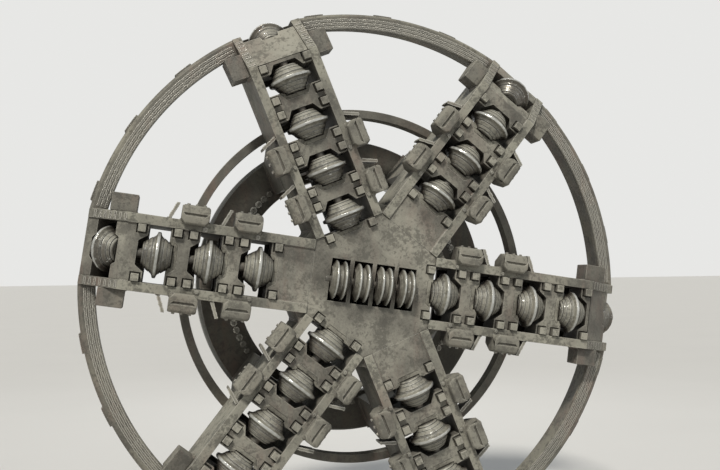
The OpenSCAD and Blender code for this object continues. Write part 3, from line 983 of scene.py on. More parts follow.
@dataclass
class Steelwork:
    """The welded frame of the head and its bearing, taken over from the CAD nodes with softened edges.

    Attributes:
        edge: Width of most bevels.
        bucket_edge: Width of the buckets' bevels.
        pipe_edge: Width of the supply pipes' bevels.
        bearing_edge: Width of the bearing rings' bevels.
        same_point: Distance in metres within which two corners are one.
        same_plane: Angle in degrees within which two faces are one.
        sharp: Angle in degrees over which an edge is bevelled and shaded sharp.
    """

    edge: float = 0.005
    bucket_edge: float = 0.010
    pipe_edge: float = 0.002
    bearing_edge: float = 0.003
    same_point: float = 1e-5
    same_plane: float = 0.4
    sharp: float = 28.0

    def soften(self, node: str, finish: Finish, width: float, segments: int = 2, body: str = HEAD) -> None:
        """Replaces a CAD node by a merged copy of it with bevelled edges.

        Args:
            node: The node's name.
            finish: Its finish.
            width: Width of the bevel in metres.
            segments: Steps of the bevel.
            body: The body that it rides on.
        """
        name = node + "_dressed"
        mesh = frame["nodes"][node].data.copy()
        mesh.name = name
        shell = bmesh.new()
        shell.from_mesh(mesh)
        bmesh.ops.remove_doubles(shell, verts=shell.verts, dist=self.same_point)
        flat = math.radians(self.same_plane)
        bmesh.ops.dissolve_limit(shell, angle_limit=flat, verts=shell.verts, edges=shell.edges)
        shell.to_mesh(mesh)
        shell.free()
        mesh.materials.clear()
        mesh.polygons.foreach_set("material_index", np.zeros(len(mesh.polygons), np.int32))
        piece = wrapped(name, mesh, finish, body, self.sharp)
        bevel = piece.modifiers.new("edge", "BEVEL")
        bevel.width = width
        bevel.segments = segments
        bevel.limit_method = "ANGLE"
        bevel.angle_limit = math.radians(self.sharp)
        bevel.use_clamp_overlap = False
        bevel.harden_normals = True
        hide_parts(node)
        log.info("%s: softened by %.1f mm", node, 1000 * width)

    def build(self) -> None:
        """Softens each node in its own finish."""
        plates = (
            (FACE, ("arm_side_plates", "centre_gussets")),
            (SADDLE, ("arm_saddles", "arm_end_blocks", "centre_face")),
            (FRAME, ("arm_back_plates", "centre_walls", "support_legs", "stiffening_ring", "leg_flange",
                     "centre_column", "mixing_bars")),
            (RIM, ("rim",)),
            (HARD, ("rim_wear_strips",)),
        )
        for finish, nodes in plates:
            for node in nodes:
                self.soften(node, finish, self.edge)
        self.soften("rim_buckets", HARD, self.bucket_edge, segments=3)
        self.soften("scraper_ribs", TOOTH, self.edge)
        self.soften("cutter_shafts", SHAFT, self.edge)
        self.soften("twin_shafts", SHAFT, self.edge)
        self.soften("rotary_coupling", COUPLING, self.edge)
        self.soften("supply_pipes", COUPLING, self.pipe_edge)
        self.soften("bearing_turning_ring", BEARING, self.bearing_edge)
        self.soften("bearing_fixed_ring", BEARING, self.bearing_edge, body="bearing_base")


@dataclass
class DiscCutter:
    """A disc cutter: a bell-shaped hub on both sides of a worn cutting ring.

    Attributes:
        ring_r: Radius over the cutting ring.
        bore_r: Radius of the bore on the shaft.
        hub_half: Half length of the hub.
        chip_from: Radius from which the ring is chipped, more and more towards its tip.
        chip: Mean depth of the chips at the tip. None is deeper than twice this.
        chip_waves: Number of sines in the chips, and their lowest and highest number round the ring.
        segments: Steps round the axis.
    """

    ring_r: float = float(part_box("disc_1_1")[1][1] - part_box("disc_1_1")[0][1]) / 2
    bore_r: float = 0.0501
    hub_half: float = 0.148
    chip_from: float = 0.222
    chip: float = 0.0020
    chip_waves: tuple[int, int, int] = (7, 5, 40)
    segments: int = 96

    def half_profile(self) -> list[tuple[float, float]]:
        """Half of the outline, from the bore to the tip.

        Returns:
            Place along the shaft and radius of each corner.
        """
        end = self.hub_half
        hub = [
            (end - 0.002, self.bore_r), (end - 0.002, 0.086), (end - 0.010, 0.089), (end - 0.010, 0.097),
            (end, 0.100), (end, 0.119), (end - 0.003, 0.123), (end - 0.010, 0.1295), (0.1345, 0.1320),
            (0.1325, 0.1270), (0.1280, 0.1270), (0.1260, 0.1390), (0.1150, 0.1465), (0.1010, 0.1560),
            (0.1000, 0.1510), (0.0960, 0.1515), (0.0945, 0.1590), (0.0810, 0.1690), (0.0660, 0.1790),
            (0.0590, 0.1830), (0.0580, 0.1770), (0.0530, 0.1770), (0.0515, 0.1860), (0.0485, 0.1900),
            (0.0460, 0.1900),
        ]
        ring = [
            (0.0450, 0.1880), (0.0405, 0.1890), (0.0395, 0.1950), (0.0350, 0.1975), (0.0305, 0.2020),
            (0.0262, 0.2090), (0.0225, 0.2180), (0.0195, 0.2280), (0.0170, 0.2355), (0.0135, 0.2395),
            (0.0090, self.ring_r),
        ]
        return hub + ring

    def shape(self, seed: int) -> Shape:
        """The whole cutter round X, with small chips and flats in its ring.

        Args:
            seed: Seed of the chips.

        Returns:
            A closed shape round the X axis, centred on the ring.
        """
        half = np.array(self.half_profile())
        profile = np.concatenate([half * (-1, 1), half[::-1]])

        def chips(angle: Vec, radius: Vec) -> Vec:
            """What is missing from the ring: it grows from chip_from to the tip and wanders by waves.

            Args:
                angle: Angles round the axis.
                radius: Radii of the whole profile.

            Returns:
                How far each point lies inside the profile.
            """
            near_tip = np.clip((radius - self.chip_from) / (self.ring_r - self.chip_from), 0, 1)
            uneven = (1 + waves(angle / (2 * math.pi), seed, *self.chip_waves)).clip(0, 2)
            return near_tip * self.chip * uneven

        return turned_shape(profile, self.segments, chips)

    def build(self, name: str, seed: int) -> bpy.types.Object:
        """Makes the cutter of one body in its place.

        Args:
            name: The body and node that it stands for.
            seed: Seed of its chips.

        Returns:
            The new object.
        """
        axis = spin_axis(name)
        side = np.cross(axis, BACK_WAY)
        side /= np.linalg.norm(side)
        shape = self.shape(seed).moved(spin_centre(name), axis, side, np.cross(axis, side))
        piece = make_piece(name + "_cutter", shape, RING, name, sharp=32.0)
        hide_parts(name)
        return piece


@dataclass
class TwinCutter(DiscCutter):
    """A twin cutter of the centre: one hub with two rings.

    Attributes:
        ring_r: Radius over the cutting rings.
        hub_half: Half length of the hub.
        chip_from: Radius from which the rings are chipped.
        ring_at: Distance of each ring from the cutter's middle.
        foot_r: Radius of the hub at the rings' feet.
    """

    ring_r: float = 0.216
    hub_half: float = 0.095
    chip_from: float = 0.206
    ring_at: float = 0.046
    foot_r: float = 0.171

    def half_profile(self) -> list[tuple[float, float]]:
        """Half of the outline, from the bore to the groove between the two rings.

        Returns:
            Place along the shaft and radius of each corner.
        """
        end, ring, foot, top = self.hub_half, self.ring_at, self.foot_r, self.ring_r
        return [
            (end - 0.002, self.bore_r), (end - 0.002, 0.086), (end - 0.008, 0.089), (end - 0.008, 0.096),
            (end, 0.099), (end, 0.141), (end - 0.005, 0.147), (0.083, 0.156),
            (ring + 0.030, foot - 0.001), (ring + 0.025, foot + 0.004), (ring + 0.020, foot + 0.020),
            (ring + 0.014, top - 0.010), (ring + 0.0085, top - 0.002), (ring + 0.004, top),
            (ring - 0.004, top), (ring - 0.0085, top - 0.002), (ring - 0.014, top - 0.010),
            (ring - 0.020, foot + 0.020), (ring - 0.026, foot + 0.002), (0.012, foot - 0.004),
            (0.001, foot - 0.005),
        ]


@dataclass
class Scrapers:
    """The scrapers along the arms: a block that laps over its side plate, a groove, and a tooth beyond it.

    Attributes:
        layout: The layout of the head.
        length: Length along the arm.
        wide: How far a scraper reaches out from its side plate.
        lap: How far it laps over the plate's front edge.
        out: How far it stands out of the front edges.
        deep: How far it reaches back along the plate.
        first: Middle of the first scraper, on odd and on even arms.
        pitch: Distance between the middles of an arm's scrapers.
        inner_cut: Bevel across the corners over the plate.
        outer_cut: Bevel across the corners of the tooth.
        seat: Depth of the lap's underside below the plate's front edge.
        undercut: Depth of the undercut beside the lap.
        corner_r: Rounding of the section's corners.
        rounding: Length and depth of the rounding of both ends.
        flat: Half length of the middle part, whose section is full.
    """

    layout: Layout
    length: float = 0.290
    wide: float = 0.160
    lap: float = 0.042
    out: float = 0.100
    deep: float = 0.190
    first: tuple[float, float] = (1.055, 1.430)
    pitch: float = 0.550
    inner_cut: float = 0.045
    outer_cut: float = 0.022
    seat: float = 0.0005
    undercut: float = 0.016
    corner_r: float = 0.007
    rounding: tuple[float, float] = (0.010, 0.006)
    flat: float = 0.080

    def places(self, arm: int) -> list[float]:
        """Middles of an arm's scrapers, as distances from the axis."""
        start = self.first[(arm + 1) % 2]
        return [start, start + self.pitch]

    def section(self) -> Vec:
        """Outline of a scraper across the arm, with its corners rounded.

        Returns:
            Place out from the side plate, and place behind the front edges, of each point.
        """
        groove = (self.wide - self.lap) / 2
        tip, edge = -self.out, -self.lap
        corners = [
            (0.0, self.deep), (0.0, self.seat), (edge, self.seat), (edge, -0.006),
            (edge + self.undercut, -0.010), (edge + self.undercut, -0.040), (edge, -0.050),
            (edge, tip + 0.026), (edge + 0.013, tip), (groove - 0.015, tip), (groove - 0.006, tip + 0.026),
            (groove + 0.006, tip + 0.028), (groove + 0.015, tip + 0.005), (self.wide - 0.022, tip + 0.019),
            (self.wide, tip + 0.046), (self.wide, 0.060), (self.wide / 2, self.deep),
        ]
        return arc_profile(corners, self.corner_r)

    def shape(self) -> Shape:
        """One scraper along X: the section is pulled in towards its middle near both ends.

        Near an end, the front corners move inwards across the arm in a straight line over the length of
        the bevel, and the last millimetres are rounded. Behind the front edges the width stays full.

        Returns:
            A closed shape with X along the arm, Y behind the front edges and Z out from the plate.
        """
        outline = self.section()
        half = self.length / 2
        round_long, round_deep = self.rounding
        ends = np.array([0.0, 0.3 * round_long, round_long, self.outer_cut, self.inner_cut]) - half
        place = np.concatenate([ends, np.linspace(-self.flat, self.flat, 3), -ends[::-1]])[:, None]
        near = half - np.abs(place)
        middle = (self.wide - self.lap) / 2
        out, depth = outline[None, :, 0], outline[None, :, 1]
        front = np.clip(-depth / (self.out * 0.5), 0, 1)
        pull_in = front * np.clip(self.inner_cut - near, 0, None) * (out < middle)
        pull_out = front * np.clip(self.outer_cut - near, 0, None) * (out >= middle)
        round_end = np.clip(1 - near / round_long, 0, 1) ** 2 * round_deep
        z = out + pull_in - pull_out - np.sign(out - middle) * round_end
        y = depth + round_end * (depth < 0)
        x = np.broadcast_to(place, z.shape)
        return swept_shape(np.stack([x, y, z], axis=-1))

    def build(self, side: Side, node: str) -> bpy.types.Object:
        """Makes all scrapers of one side of the arms.

        Args:
            side: The side of the arms that they stand on.
            node: The node that they stand for.

        Returns:
            The new object.
        """
        lay = self.layout
        whole, one = Shape(), self.shape()
        for arm in lay.arms:
            edge = ArmSide(lay, arm, side)
            for u in self.places(arm):
                whole.add(one.moved(edge.at(u, lay.half, lay.front), edge.along, BACK_WAY, edge.out))
        piece = make_piece(node + "_cast", whole, TOOTH, HEAD, sharp=35.0)
        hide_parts(node)
        return piece


# Beads, bolts and what sticks to the head

class Lie(Enum):
    """How a round bead lies: on a flat face alone, or in the corner outside or inside a round one."""

    FLAT = 0
    OUTSIDE = 1
    INSIDE = -1


@dataclass
class Beads:
    """Rippled beads swept along seams, gathered in one shape.

    Attributes:
        name: Name of the piece that they become.
        finish: Its finish.
        ripple: Length of one ripple.
        swell: Share by which a bead grows and shrinks with each ripple.
        rough: Share by which its size wanders.
        crown: How far a bead on a flat seam rises, as a share of its size.
        shape: All beads so far.
        count: Their number, which seeds the next one's waves.
    """

    name: str
    finish: Finish
    ripple: float = 0.018
    swell: float = 0.10
    rough: float = 0.08
    crown: float = 0.30
    shape: Shape = field(default_factory=Shape)
    count: int = 0

    def along_path(self, path: Vec, side_a: Vec, side_b: Vec, size: float) -> None:
        """Adds one bead in the corner between two faces, or over a flat seam where the sides point apart.

        A point of the section is path + leg * (a * side_a + b * side_b), where a and b run over a bulging
        quarter, and leg is size * (1 + swell * cos(pi * number) + rough * waves).

        Args:
            path: Points along the seam, half a ripple apart.
            side_a: Direction along the first face, away from the seam: one row, or one for each point.
            side_b: Direction along the second face, away from the seam.
            size: Length of the bead's leg on each face.
        """
        self.count += 1
        a, b = np.broadcast_to(side_a, path.shape), np.broadcast_to(side_b, path.shape)
        number = np.arange(len(path))
        wander = waves(number / 40.0, self.count, count=4, low=1, high=9)
        leg = (size * (1 + self.swell * np.cos(math.pi * number) + self.rough * wander))[:, None, None]
        share = np.array([
            [-0.12, -0.12], [1.0, -0.10], [0.86, 0.36], [0.60, 0.60], [0.36, 0.86], [-0.10, 1.0],
        ])
        sections = path[:, None] + leg * (share[None, :, :1] * a[:, None] + share[None, :, 1:] * b[:, None])
        if np.dot(np.cross(a[0], b[0]), path[1] - path[0]) < 0:
            sections = sections[:, ::-1]
        self.shape.add(swept_shape(sections))

    def points_on(self, length: float) -> int:
        """Number of points on a path of some length, half a ripple apart."""
        return max(4, int(length / self.ripple * 2))

    def seam(self, start: Vec, end: Vec, side_a: Vec, side_b: Vec, size: float) -> None:
        """Adds a straight bead in the corner between two faces.

        Args:
            start: First point of the seam.
            end: Last point of the seam.
            side_a: Direction along the first face, away from the seam.
            side_b: Direction along the second face, away from the seam.
            size: Length of the bead's leg on each face.
        """
        share = np.linspace(0, 1, self.points_on(np.linalg.norm(end - start)))[:, None]
        self.along_path(start + (end - start) * share, side_a, side_b, size)

    def flat(self, start: Vec, end: Vec, over: Vec, normal: Vec, size: float) -> None:
        """Adds a low straight bead on a flat seam.

        Args:
            start: First point of the seam.
            end: Last point of the seam.
            over: Direction across the seam.
            normal: Direction out of the plates.
            size: Half width of the bead.
        """
        rise = self.crown * normal
        self.seam(start, end, over + rise, -over + rise, size)

    def hoop(self, centre: Vec, axis: Vec, start: Vec, radius: float, lie: Lie, size: float,
             arc: tuple[float, float] = (0.0, 360.0)) -> None:
        """Adds a round bead. Its path is centre + radius * (cos(a) * start + sin(a) * (axis x start)).

        Args:
            centre: Centre of the circle.
            axis: Normal of the flat face, away from its material.
            start: Unit direction at angle 0, at right angles to the axis.
            radius: Radius of the corner, or of the bead's middle on a flat face.
            lie: How the bead lies on the face.
            size: Length of the bead's leg, or its half width on a flat face.
            arc: First and last angle a in degrees.
        """
        steps = self.points_on(math.radians(arc[1] - arc[0]) * radius)
        angle = np.radians(np.linspace(*arc, steps))[:, None]
        out = np.cos(angle) * start + np.sin(angle) * np.cross(axis, start)
        sides = (out * lie.value, axis)
        if lie is Lie.FLAT:
            sides = (out + self.crown * axis, -out + self.crown * axis)
        self.along_path(centre + out * radius, *sides, size)

    def build(self) -> bpy.types.Object:
        """Makes the piece that holds every bead."""
        return make_piece(self.name, self.shape, self.finish, HEAD, sharp=60.0)


@dataclass
class FrontWelds:
    """Weld beads that are seen from the front: saddles, gussets, scrapers, ribs, buckets and the rim.

    Attributes:
        layout: The layout of the head.
        scrapers: The scrapers that some beads run round.
        beads: Where the beads are gathered.
        end_gap: Length that most seams leave free at their ends.
        lug_reach: Distance from a disc's middle to the far edge of its lugs' grooves.
        saddle_end: Distance from the axis at which an arm's last saddle ends.
        gusset_u: Start and end of a gusset's front seam, from the centre box's flats.
        gusset_drop: How far a gusset's front lies behind the side plates' front edges.
        end_drop: How far behind these edges the seams on a scraper's ends begin.
        rib_u: Place of a rib's two faces, from its scraper's end.
        rib_drop: How far behind the front edges a rib's seams begin.
        rib_gap: How far before a scraper's back end they stop.
        rim_in: Inner radius of the rim.
        rim_y: Front end of the seam between a side plate and the rim, along Y.
        bucket_in: How far a bucket reaches inwards from the rim's inner radius, at its foot.
        bucket_w: Width of a bucket, out from the side plate.
        bucket_l: Length of a bucket along the arm.
        bucket_y: Both ends of the seam on a bucket, along Y.
    """

    layout: Layout
    scrapers: Scrapers
    beads: Beads = field(default_factory=lambda: Beads("front_welds", WELD))
    end_gap: float = 0.004
    lug_reach: float = 0.240
    saddle_end: float = 2.640
    gusset_u: tuple[float, float] = (0.012, 0.115)
    gusset_drop: float = 0.050
    end_drop: float = 0.008
    rib_u: tuple[float, float] = (0.100, 0.1304)
    rib_drop: float = 0.024
    rib_gap: float = 0.002
    rim_in: float = 3.000
    rim_y: float = -1.316
    bucket_in: float = 0.100
    bucket_w: float = 0.190
    bucket_l: float = 0.270
    bucket_y: tuple[float, float] = (-1.574, -1.356)

    def build(self) -> bpy.types.Object:
        """Adds every bead and makes the piece.

        Returns:
            The new object.
        """
        for arm in self.layout.arms:
            self.saddles(arm)
            self.gusset(arm)
            for side in self.layout.sides(arm):
                self.teeth(side)
                self.rim_end(side)
        return self.beads.build()

    def saddle_seams(self, arm: int) -> list[tuple[float, float]]:
        """Stretches of an arm's saddles between windows and lug grooves.

        Args:
            arm: Number of the arm. On odd arms the first disc stands close to the centre box.

        Returns:
            Start and end of each stretch, as distances from the axis.
        """
        edges = [u + way * self.lug_reach for u in self.layout.plain_discs(arm) for way in (-1, 1)]
        edges.append(self.saddle_end)
        edges = edges[1:] if arm % 2 else [self.layout.box_flat] + edges
        return [(start + self.end_gap, end - self.end_gap) for start, end in zip(edges[::2], edges[1::2])]

    def saddles(self, arm: int) -> None:
        """Adds the seams between an arm's saddles and its side plates.

        Args:
            arm: Number of the arm.
        """
        lay = self.layout
        for side in lay.sides(arm):
            for span in self.saddle_seams(arm):
                ends = [side.at(u, lay.inner, lay.saddle_y) for u in span]
                self.beads.seam(*ends, FRONT_WAY, -side.out, size=0.012)

    def gusset(self, arm: int) -> None:
        """Adds the seams round the gusset that follows an arm's leading side.

        Args:
            arm: Number of the arm.
        """
        lay = self.layout
        after = arm % len(lay.arms) + 1
        face = lay.front + self.gusset_drop
        start, reach = (lay.box_flat + u for u in self.gusset_u)
        pair = (ArmSide(lay, arm, Side.LEADING), ArmSide(lay, after, Side.TRAILING))
        for side, other in (pair, pair[::-1]):
            inwards = other.along - side.along
            inwards = inwards / np.linalg.norm(inwards)
            corner = side.at(reach, lay.half, face)
            back = side.at(reach, lay.half, lay.back - self.end_gap)
            self.beads.seam(corner, back, side.along, inwards, size=0.014)
            self.beads.seam(side.at(start, lay.half, face), corner, FRONT_WAY, side.out, size=0.010)

    def upright(self, side: ArmSide, u: float, span: tuple[float, float], way: Vec, size: float) -> None:
        """Adds a seam along Y on the outer face of a side plate.

        Args:
            side: The side of the arm.
            u: Distance from the axis along the arm.
            span: Both ends of the seam, along Y.
            way: Direction on the plate, away from the piece that is welded to it.
            size: Length of the bead's leg.
        """
        ends = [side.at(u, self.layout.half, y) for y in span]
        self.beads.seam(*ends, way, side.out, size)

    def teeth(self, side: ArmSide) -> None:
        """Adds the seams round the scrapers and ribs of one side of an arm.

        Args:
            side: The side of the arm.
        """
        lay = self.layout
        foot = lay.front + self.scrapers.deep
        ways = (-side.along, side.along)
        for u in self.scrapers.places(side.arm):
            ends = (u - self.scrapers.length / 2, u + self.scrapers.length / 2)
            self.beads.seam(*[side.at(end, lay.half, foot) for end in ends], BACK_WAY, side.out, size=0.013)
            for end, way in zip(ends, ways):
                self.upright(side, end, (lay.front + self.end_drop, foot), way, size=0.012)
            for shift, way in zip(self.rib_u, ways):
                span = (lay.front + self.rib_drop, foot - self.rib_gap)
                self.upright(side, ends[1] + shift, span, way, size=0.011)

    def rim_end(self, side: ArmSide) -> None:
        """Adds the seams between a side plate and the rim, and between the plate and its bucket.

        Args:
            side: The side of the arm.
        """
        lay = self.layout
        inner = math.sqrt(self.rim_in ** 2 - lay.half ** 2)
        self.upright(side, inner, (self.rim_y, lay.back - self.end_gap), -side.along, size=0.018)
        outer = math.sqrt((self.rim_in - self.bucket_in) ** 2 - (lay.half + self.bucket_w) ** 2)
        self.upright(side, outer - self.bucket_l, self.bucket_y, -side.along, size=0.016)


@dataclass
class BackWelds:
    """Weld beads of the frame behind the arms: legs, flange, rings, pipes, bars and the column.

    Attributes:
        layout: The layout of the head.
        beads: Where the beads are gathered.
        flange_y: Front face of the leg flange, along Y.
        flange_r: Its outer radius.
        ring_r: Outer radius of the stiffening ring.
        ring_w: Its width.
        leg_in: Distance from the axis to a leg's inner edge.
        leg_out: Distance from the axis to its outer edge at the arm's back.
        leg_gap: Lengths that the seams on the flange leave free, at a leg's inner edge and at the rim.
        web: Both faces of a leg's web, as distances from the axis.
        column_r: Radius of the centre column's tube.
        foot_r: Radius of its foot plate.
        foot_t: Thickness of its foot plate.
        pipe_r: Radius of a supply pipe.
        pipe_back: How far a pipe lies behind the arms' back edges.
        bar_r: Radius of a mixing bar's foot.
        bar_u: Distance of the bar from the axis, on odd and on even arms.
        window: Half length of a window in the back plates.
        plate_end: Distance from the axis at which an arm's last back plate ends.
        box_gap: Length left free beside the centre box.
        leg_clear: Length left free beside a leg, on the arm's back.
        ring_clear: Length left free inside and outside the stiffening ring.
        shortest: Shortest seam that is welded.
        end_gap: Length that seams on a leg's web leave free at their ends.
        edge_gap: Length that seams on a side plate's back edge leave free at both of its faces.
    """

    layout: Layout
    beads: Beads = field(default_factory=lambda: Beads("back_welds", WELD, ripple=0.026))
    flange_y: float = float(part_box("leg_flange")[0][1])
    flange_r: float = float(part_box("leg_flange")[1][0])
    ring_r: float = float(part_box("stiffening_ring")[1][0])
    ring_w: float = 0.096
    leg_in: float = 1.345
    leg_out: float = 1.900
    leg_gap: tuple[float, float] = (0.006, 0.030)
    web: tuple[float, float] = (1.445, 1.535)
    column_r: float = 0.330
    foot_r: float = float(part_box("centre_column")[1][0])
    foot_t: float = 0.070
    pipe_r: float = 0.044
    pipe_back: float = 0.160
    bar_r: float = 0.085
    bar_u: tuple[float, float] = (2.165, 2.515)
    window: float = 0.112
    plate_end: float = 2.555
    box_gap: float = 0.010
    leg_clear: float = 0.020
    ring_clear: tuple[float, float] = (0.100, 0.020)
    shortest: float = 0.050
    end_gap: float = 0.004
    edge_gap: float = 0.002

    def build(self) -> bpy.types.Object:
        """Adds every bead and makes the piece.

        Returns:
            The new object.
        """
        lay = self.layout
        middle = np.array([0.0, lay.back, 0.0])
        for arm in lay.arms:
            self.leg(arm)
            self.back_plates(arm)
            self.ring_crossing(arm)
            self.small_parts(arm)
        start = lay.along(1)
        foot = middle + (0, self.foot_t, 0)
        self.beads.hoop(foot, BACK_WAY, start, self.column_r, lie=Lie.OUTSIDE, size=0.020)
        self.beads.hoop(middle, BACK_WAY, start, self.foot_r, lie=Lie.OUTSIDE, size=0.018)
        return self.beads.build()

    def leg(self, arm: int) -> None:
        """Adds the seams of one leg on the flange, of its web, and where it meets the side plates.

        Args:
            arm: Number of the arm.
        """
        lay = self.layout
        on_flange = (self.leg_in + self.leg_gap[0], self.flange_r - self.leg_gap[1])
        on_web = (lay.back + self.end_gap, self.flange_y - self.end_gap)
        for side in lay.sides(arm):
            for v, way in ((lay.half, side.out), (lay.inner, -side.out)):
                ends = [side.at(u, v, self.flange_y) for u in on_flange]
                self.beads.seam(*ends, FRONT_WAY, way, size=0.020)
            ends = [side.at(u, lay.half, lay.back) for u in (self.leg_in, self.leg_out)]
            self.beads.flat(*ends, BACK_WAY, side.out, size=0.014)
            for u, way in zip(self.web, (-side.along, side.along)):
                ends = [side.at(u, lay.inner, y) for y in on_web]
                self.beads.seam(*ends, way, -side.out, size=0.016)

    def back_plates(self, arm: int) -> None:
        """Adds the flat seams between an arm's back plates and its side plates.

        Args:
            arm: Number of the arm. On odd arms the first disc stands close to the centre box.
        """
        lay = self.layout
        discs = lay.plain_discs(arm)
        starts = [u + self.window for u in discs]
        ends = [u - self.window for u in discs] + [self.plate_end]
        if arm % 2:
            ends = ends[1:]
        else:
            starts = [lay.box_flat + self.box_gap] + starts
        for stretch in zip(starts, ends):
            for side in lay.sides(arm):
                for span in self.free_spans(*stretch):
                    points = [side.at(u, lay.inner, lay.back) for u in span]
                    self.beads.flat(*points, lay.across(arm), BACK_WAY, size=0.013)

    def ring_crossing(self, arm: int) -> None:
        """Adds the short round seams where the stiffening ring crosses an arm's side plates.

        Args:
            arm: Number of the arm.
        """
        lay = self.layout
        centre = np.array([0.0, lay.back, 0.0])
        faces = (lay.inner + self.edge_gap, lay.half - self.edge_gap)
        for radius, lie in ((self.ring_r, Lie.OUTSIDE), (self.ring_r - self.ring_w, Lie.INSIDE)):
            near, far = (math.degrees(math.asin(v / radius)) for v in faces)
            for arc in ((near, far), (-far, -near)):
                self.beads.hoop(centre, BACK_WAY, lay.along(arm), radius, lie, size=0.016, arc=arc)

    def free_spans(self, start: float, end: float) -> list[tuple[float, float]]:
        """Parts of a stretch of an arm's back that lie under neither a leg nor the stiffening ring.

        Args:
            start: Start of the stretch, as a distance from the axis.
            end: Its end.

        Returns:
            Start and end of each part.
        """
        leg = (self.leg_in - self.leg_clear, self.leg_out + self.leg_clear)
        ring = (self.ring_r - self.ring_w - self.ring_clear[0], self.ring_r + self.ring_clear[1])
        spans = [(start, end)]
        for low, high in (leg, ring):
            cut = [part for a, b in spans for part in ((a, min(b, low)), (max(a, high), b))]
            spans = [(a, b) for a, b in cut if b - a > self.shortest]
        return spans

    def small_parts(self, arm: int) -> None:
        """Adds the seams round the ends of a supply pipe and round the foot of a mixing bar.

        Args:
            arm: Number of the arm.
        """
        lay = self.layout
        along = lay.along(arm)
        y = lay.back + self.pipe_back
        for u, way in ((self.column_r, along), (self.web[0], -along)):
            end = lay.place(arm, u, 0, y)
            self.beads.hoop(end, way, BACK_WAY, self.pipe_r, lie=Lie.OUTSIDE, size=0.012)
        foot = lay.place(arm, self.bar_u[(arm + 1) % 2], 0, lay.back)
        self.beads.hoop(foot, BACK_WAY, along, self.bar_r, lie=Lie.OUTSIDE, size=0.016)


@dataclass
class HardFacing:
    """Raised beads of hard weld metal on the outer ends of the arms and on the rim's front.

    Attributes:
        layout: The layout of the head.
        beads: Where the beads are gathered.
        slope_from: Distance from the axis at which the arms' front edges begin to slope back.
        slope_drop: How far back they are at the rim.
        rim_in: Inner radius of the rim.
        rim_front: Front face of the rim, along Y.
        pitch: Distance between the beads on a side plate.
        first: Distance of the first one from the start of the slope.
        edge_gap: Length that they leave free at both faces of the plate.
        hoops: Radii of the beads on the rim.
        arm_gap: Length that these leave free beside an arm.
    """

    layout: Layout
    beads: Beads = field(default_factory=lambda: Beads("hard_facing_beads", HARD, ripple=0.024, rough=0.16))
    slope_from: float = 2.640
    slope_drop: float = 0.230
    rim_in: float = 3.000
    rim_front: float = -1.380
    pitch: float = 0.052
    first: float = 0.030
    edge_gap: float = 0.012
    hoops: tuple[float, ...] = (2.925, 2.965, 3.005)
    arm_gap: float = 0.030

    def build(self) -> bpy.types.Object:
        """Adds the beads across the arms' sloping ends and the hoops on the rim.

        Returns:
            The new object.
        """
        for arm in self.layout.arms:
            self.arm_end(arm)
            self.rim_front_after(arm)
        return self.beads.build()

    def arm_end(self, arm: int) -> None:
        """Adds the beads across both side plates of an arm, where they slope back.

        Args:
            arm: Number of the arm.
        """
        lay = self.layout
        fall = self.slope_drop / (self.rim_in - self.slope_from)
        tangent = np.array([1.0, fall]) / math.hypot(1.0, fall)
        over = lay.along(arm) * tangent[0] + BACK_WAY * tangent[1]
        normal = lay.along(arm) * tangent[1] - BACK_WAY * tangent[0]
        for u in np.arange(self.slope_from + self.first, self.rim_in, self.pitch):
            y = lay.front + fall * (u - self.slope_from)
            for side in lay.sides(arm):
                ends = [side.at(u, v, y) for v in (lay.inner + self.edge_gap, lay.half - self.edge_gap)]
                self.beads.flat(*ends, over, normal, size=0.013)

    def rim_front_after(self, arm: int) -> None:
        """Adds the hoops on the rim's front between an arm and the next one.

        Args:
            arm: Number of the arm.
        """
        lay = self.layout
        gap = math.degrees(math.asin((lay.half + self.arm_gap) / self.rim_in))
        centre = np.array([0.0, self.rim_front, 0.0])
        arc = (gap, 360.0 / len(lay.arms) - gap)
        for radius in self.hoops:
            self.beads.hoop(centre, FRONT_WAY, lay.along(arm), radius, Lie.FLAT, size=0.012, arc=arc)


@dataclass
class RibFacing:
    """A rubbed bead of weld metal along the front edge of each rib beyond a scraper, pale partly as a
    painted highlight.

    Attributes:
        layout: The layout of the head.
        scrapers: The scrapers that the ribs stand beside.
        beads: Where the beads are gathered.
        foot: Distance from a scraper's end to the middle of its rib's foot.
        wide: How far a rib reaches out from its side plate.
        lean: Degrees by which it leans towards the scraper.
        free: Lengths that a bead leaves free at the rib's foot and at its end.
    """

    layout: Layout
    scrapers: Scrapers
    beads: Beads = field(default_factory=lambda: Beads("rib_facing", FACING, ripple=0.022, rough=0.12))
    foot: float = 0.1152
    wide: float = 0.175
    lean: float = 23.0
    free: tuple[float, float] = (0.006, 0.004)

    def build(self) -> bpy.types.Object:
        """Adds one bead for each rib and makes the piece.

        Returns:
            The new object.
        """
        lay = self.layout
        tangent = math.tan(math.radians(self.lean))
        reach = (self.free[0], self.wide - self.free[1])
        for side in (side for arm in lay.arms for side in lay.sides(arm)):
            way = side.out - tangent * side.along
            over = np.cross(way / np.linalg.norm(way), FRONT_WAY)
            for u in self.scrapers.places(side.arm):
                start = u + self.scrapers.length / 2 + self.foot
                ends = [side.at(start - v * tangent, lay.half + v, lay.saddle_y) for v in reach]
                self.beads.flat(*ends, over, FRONT_WAY, size=0.016)
        return self.beads.build()


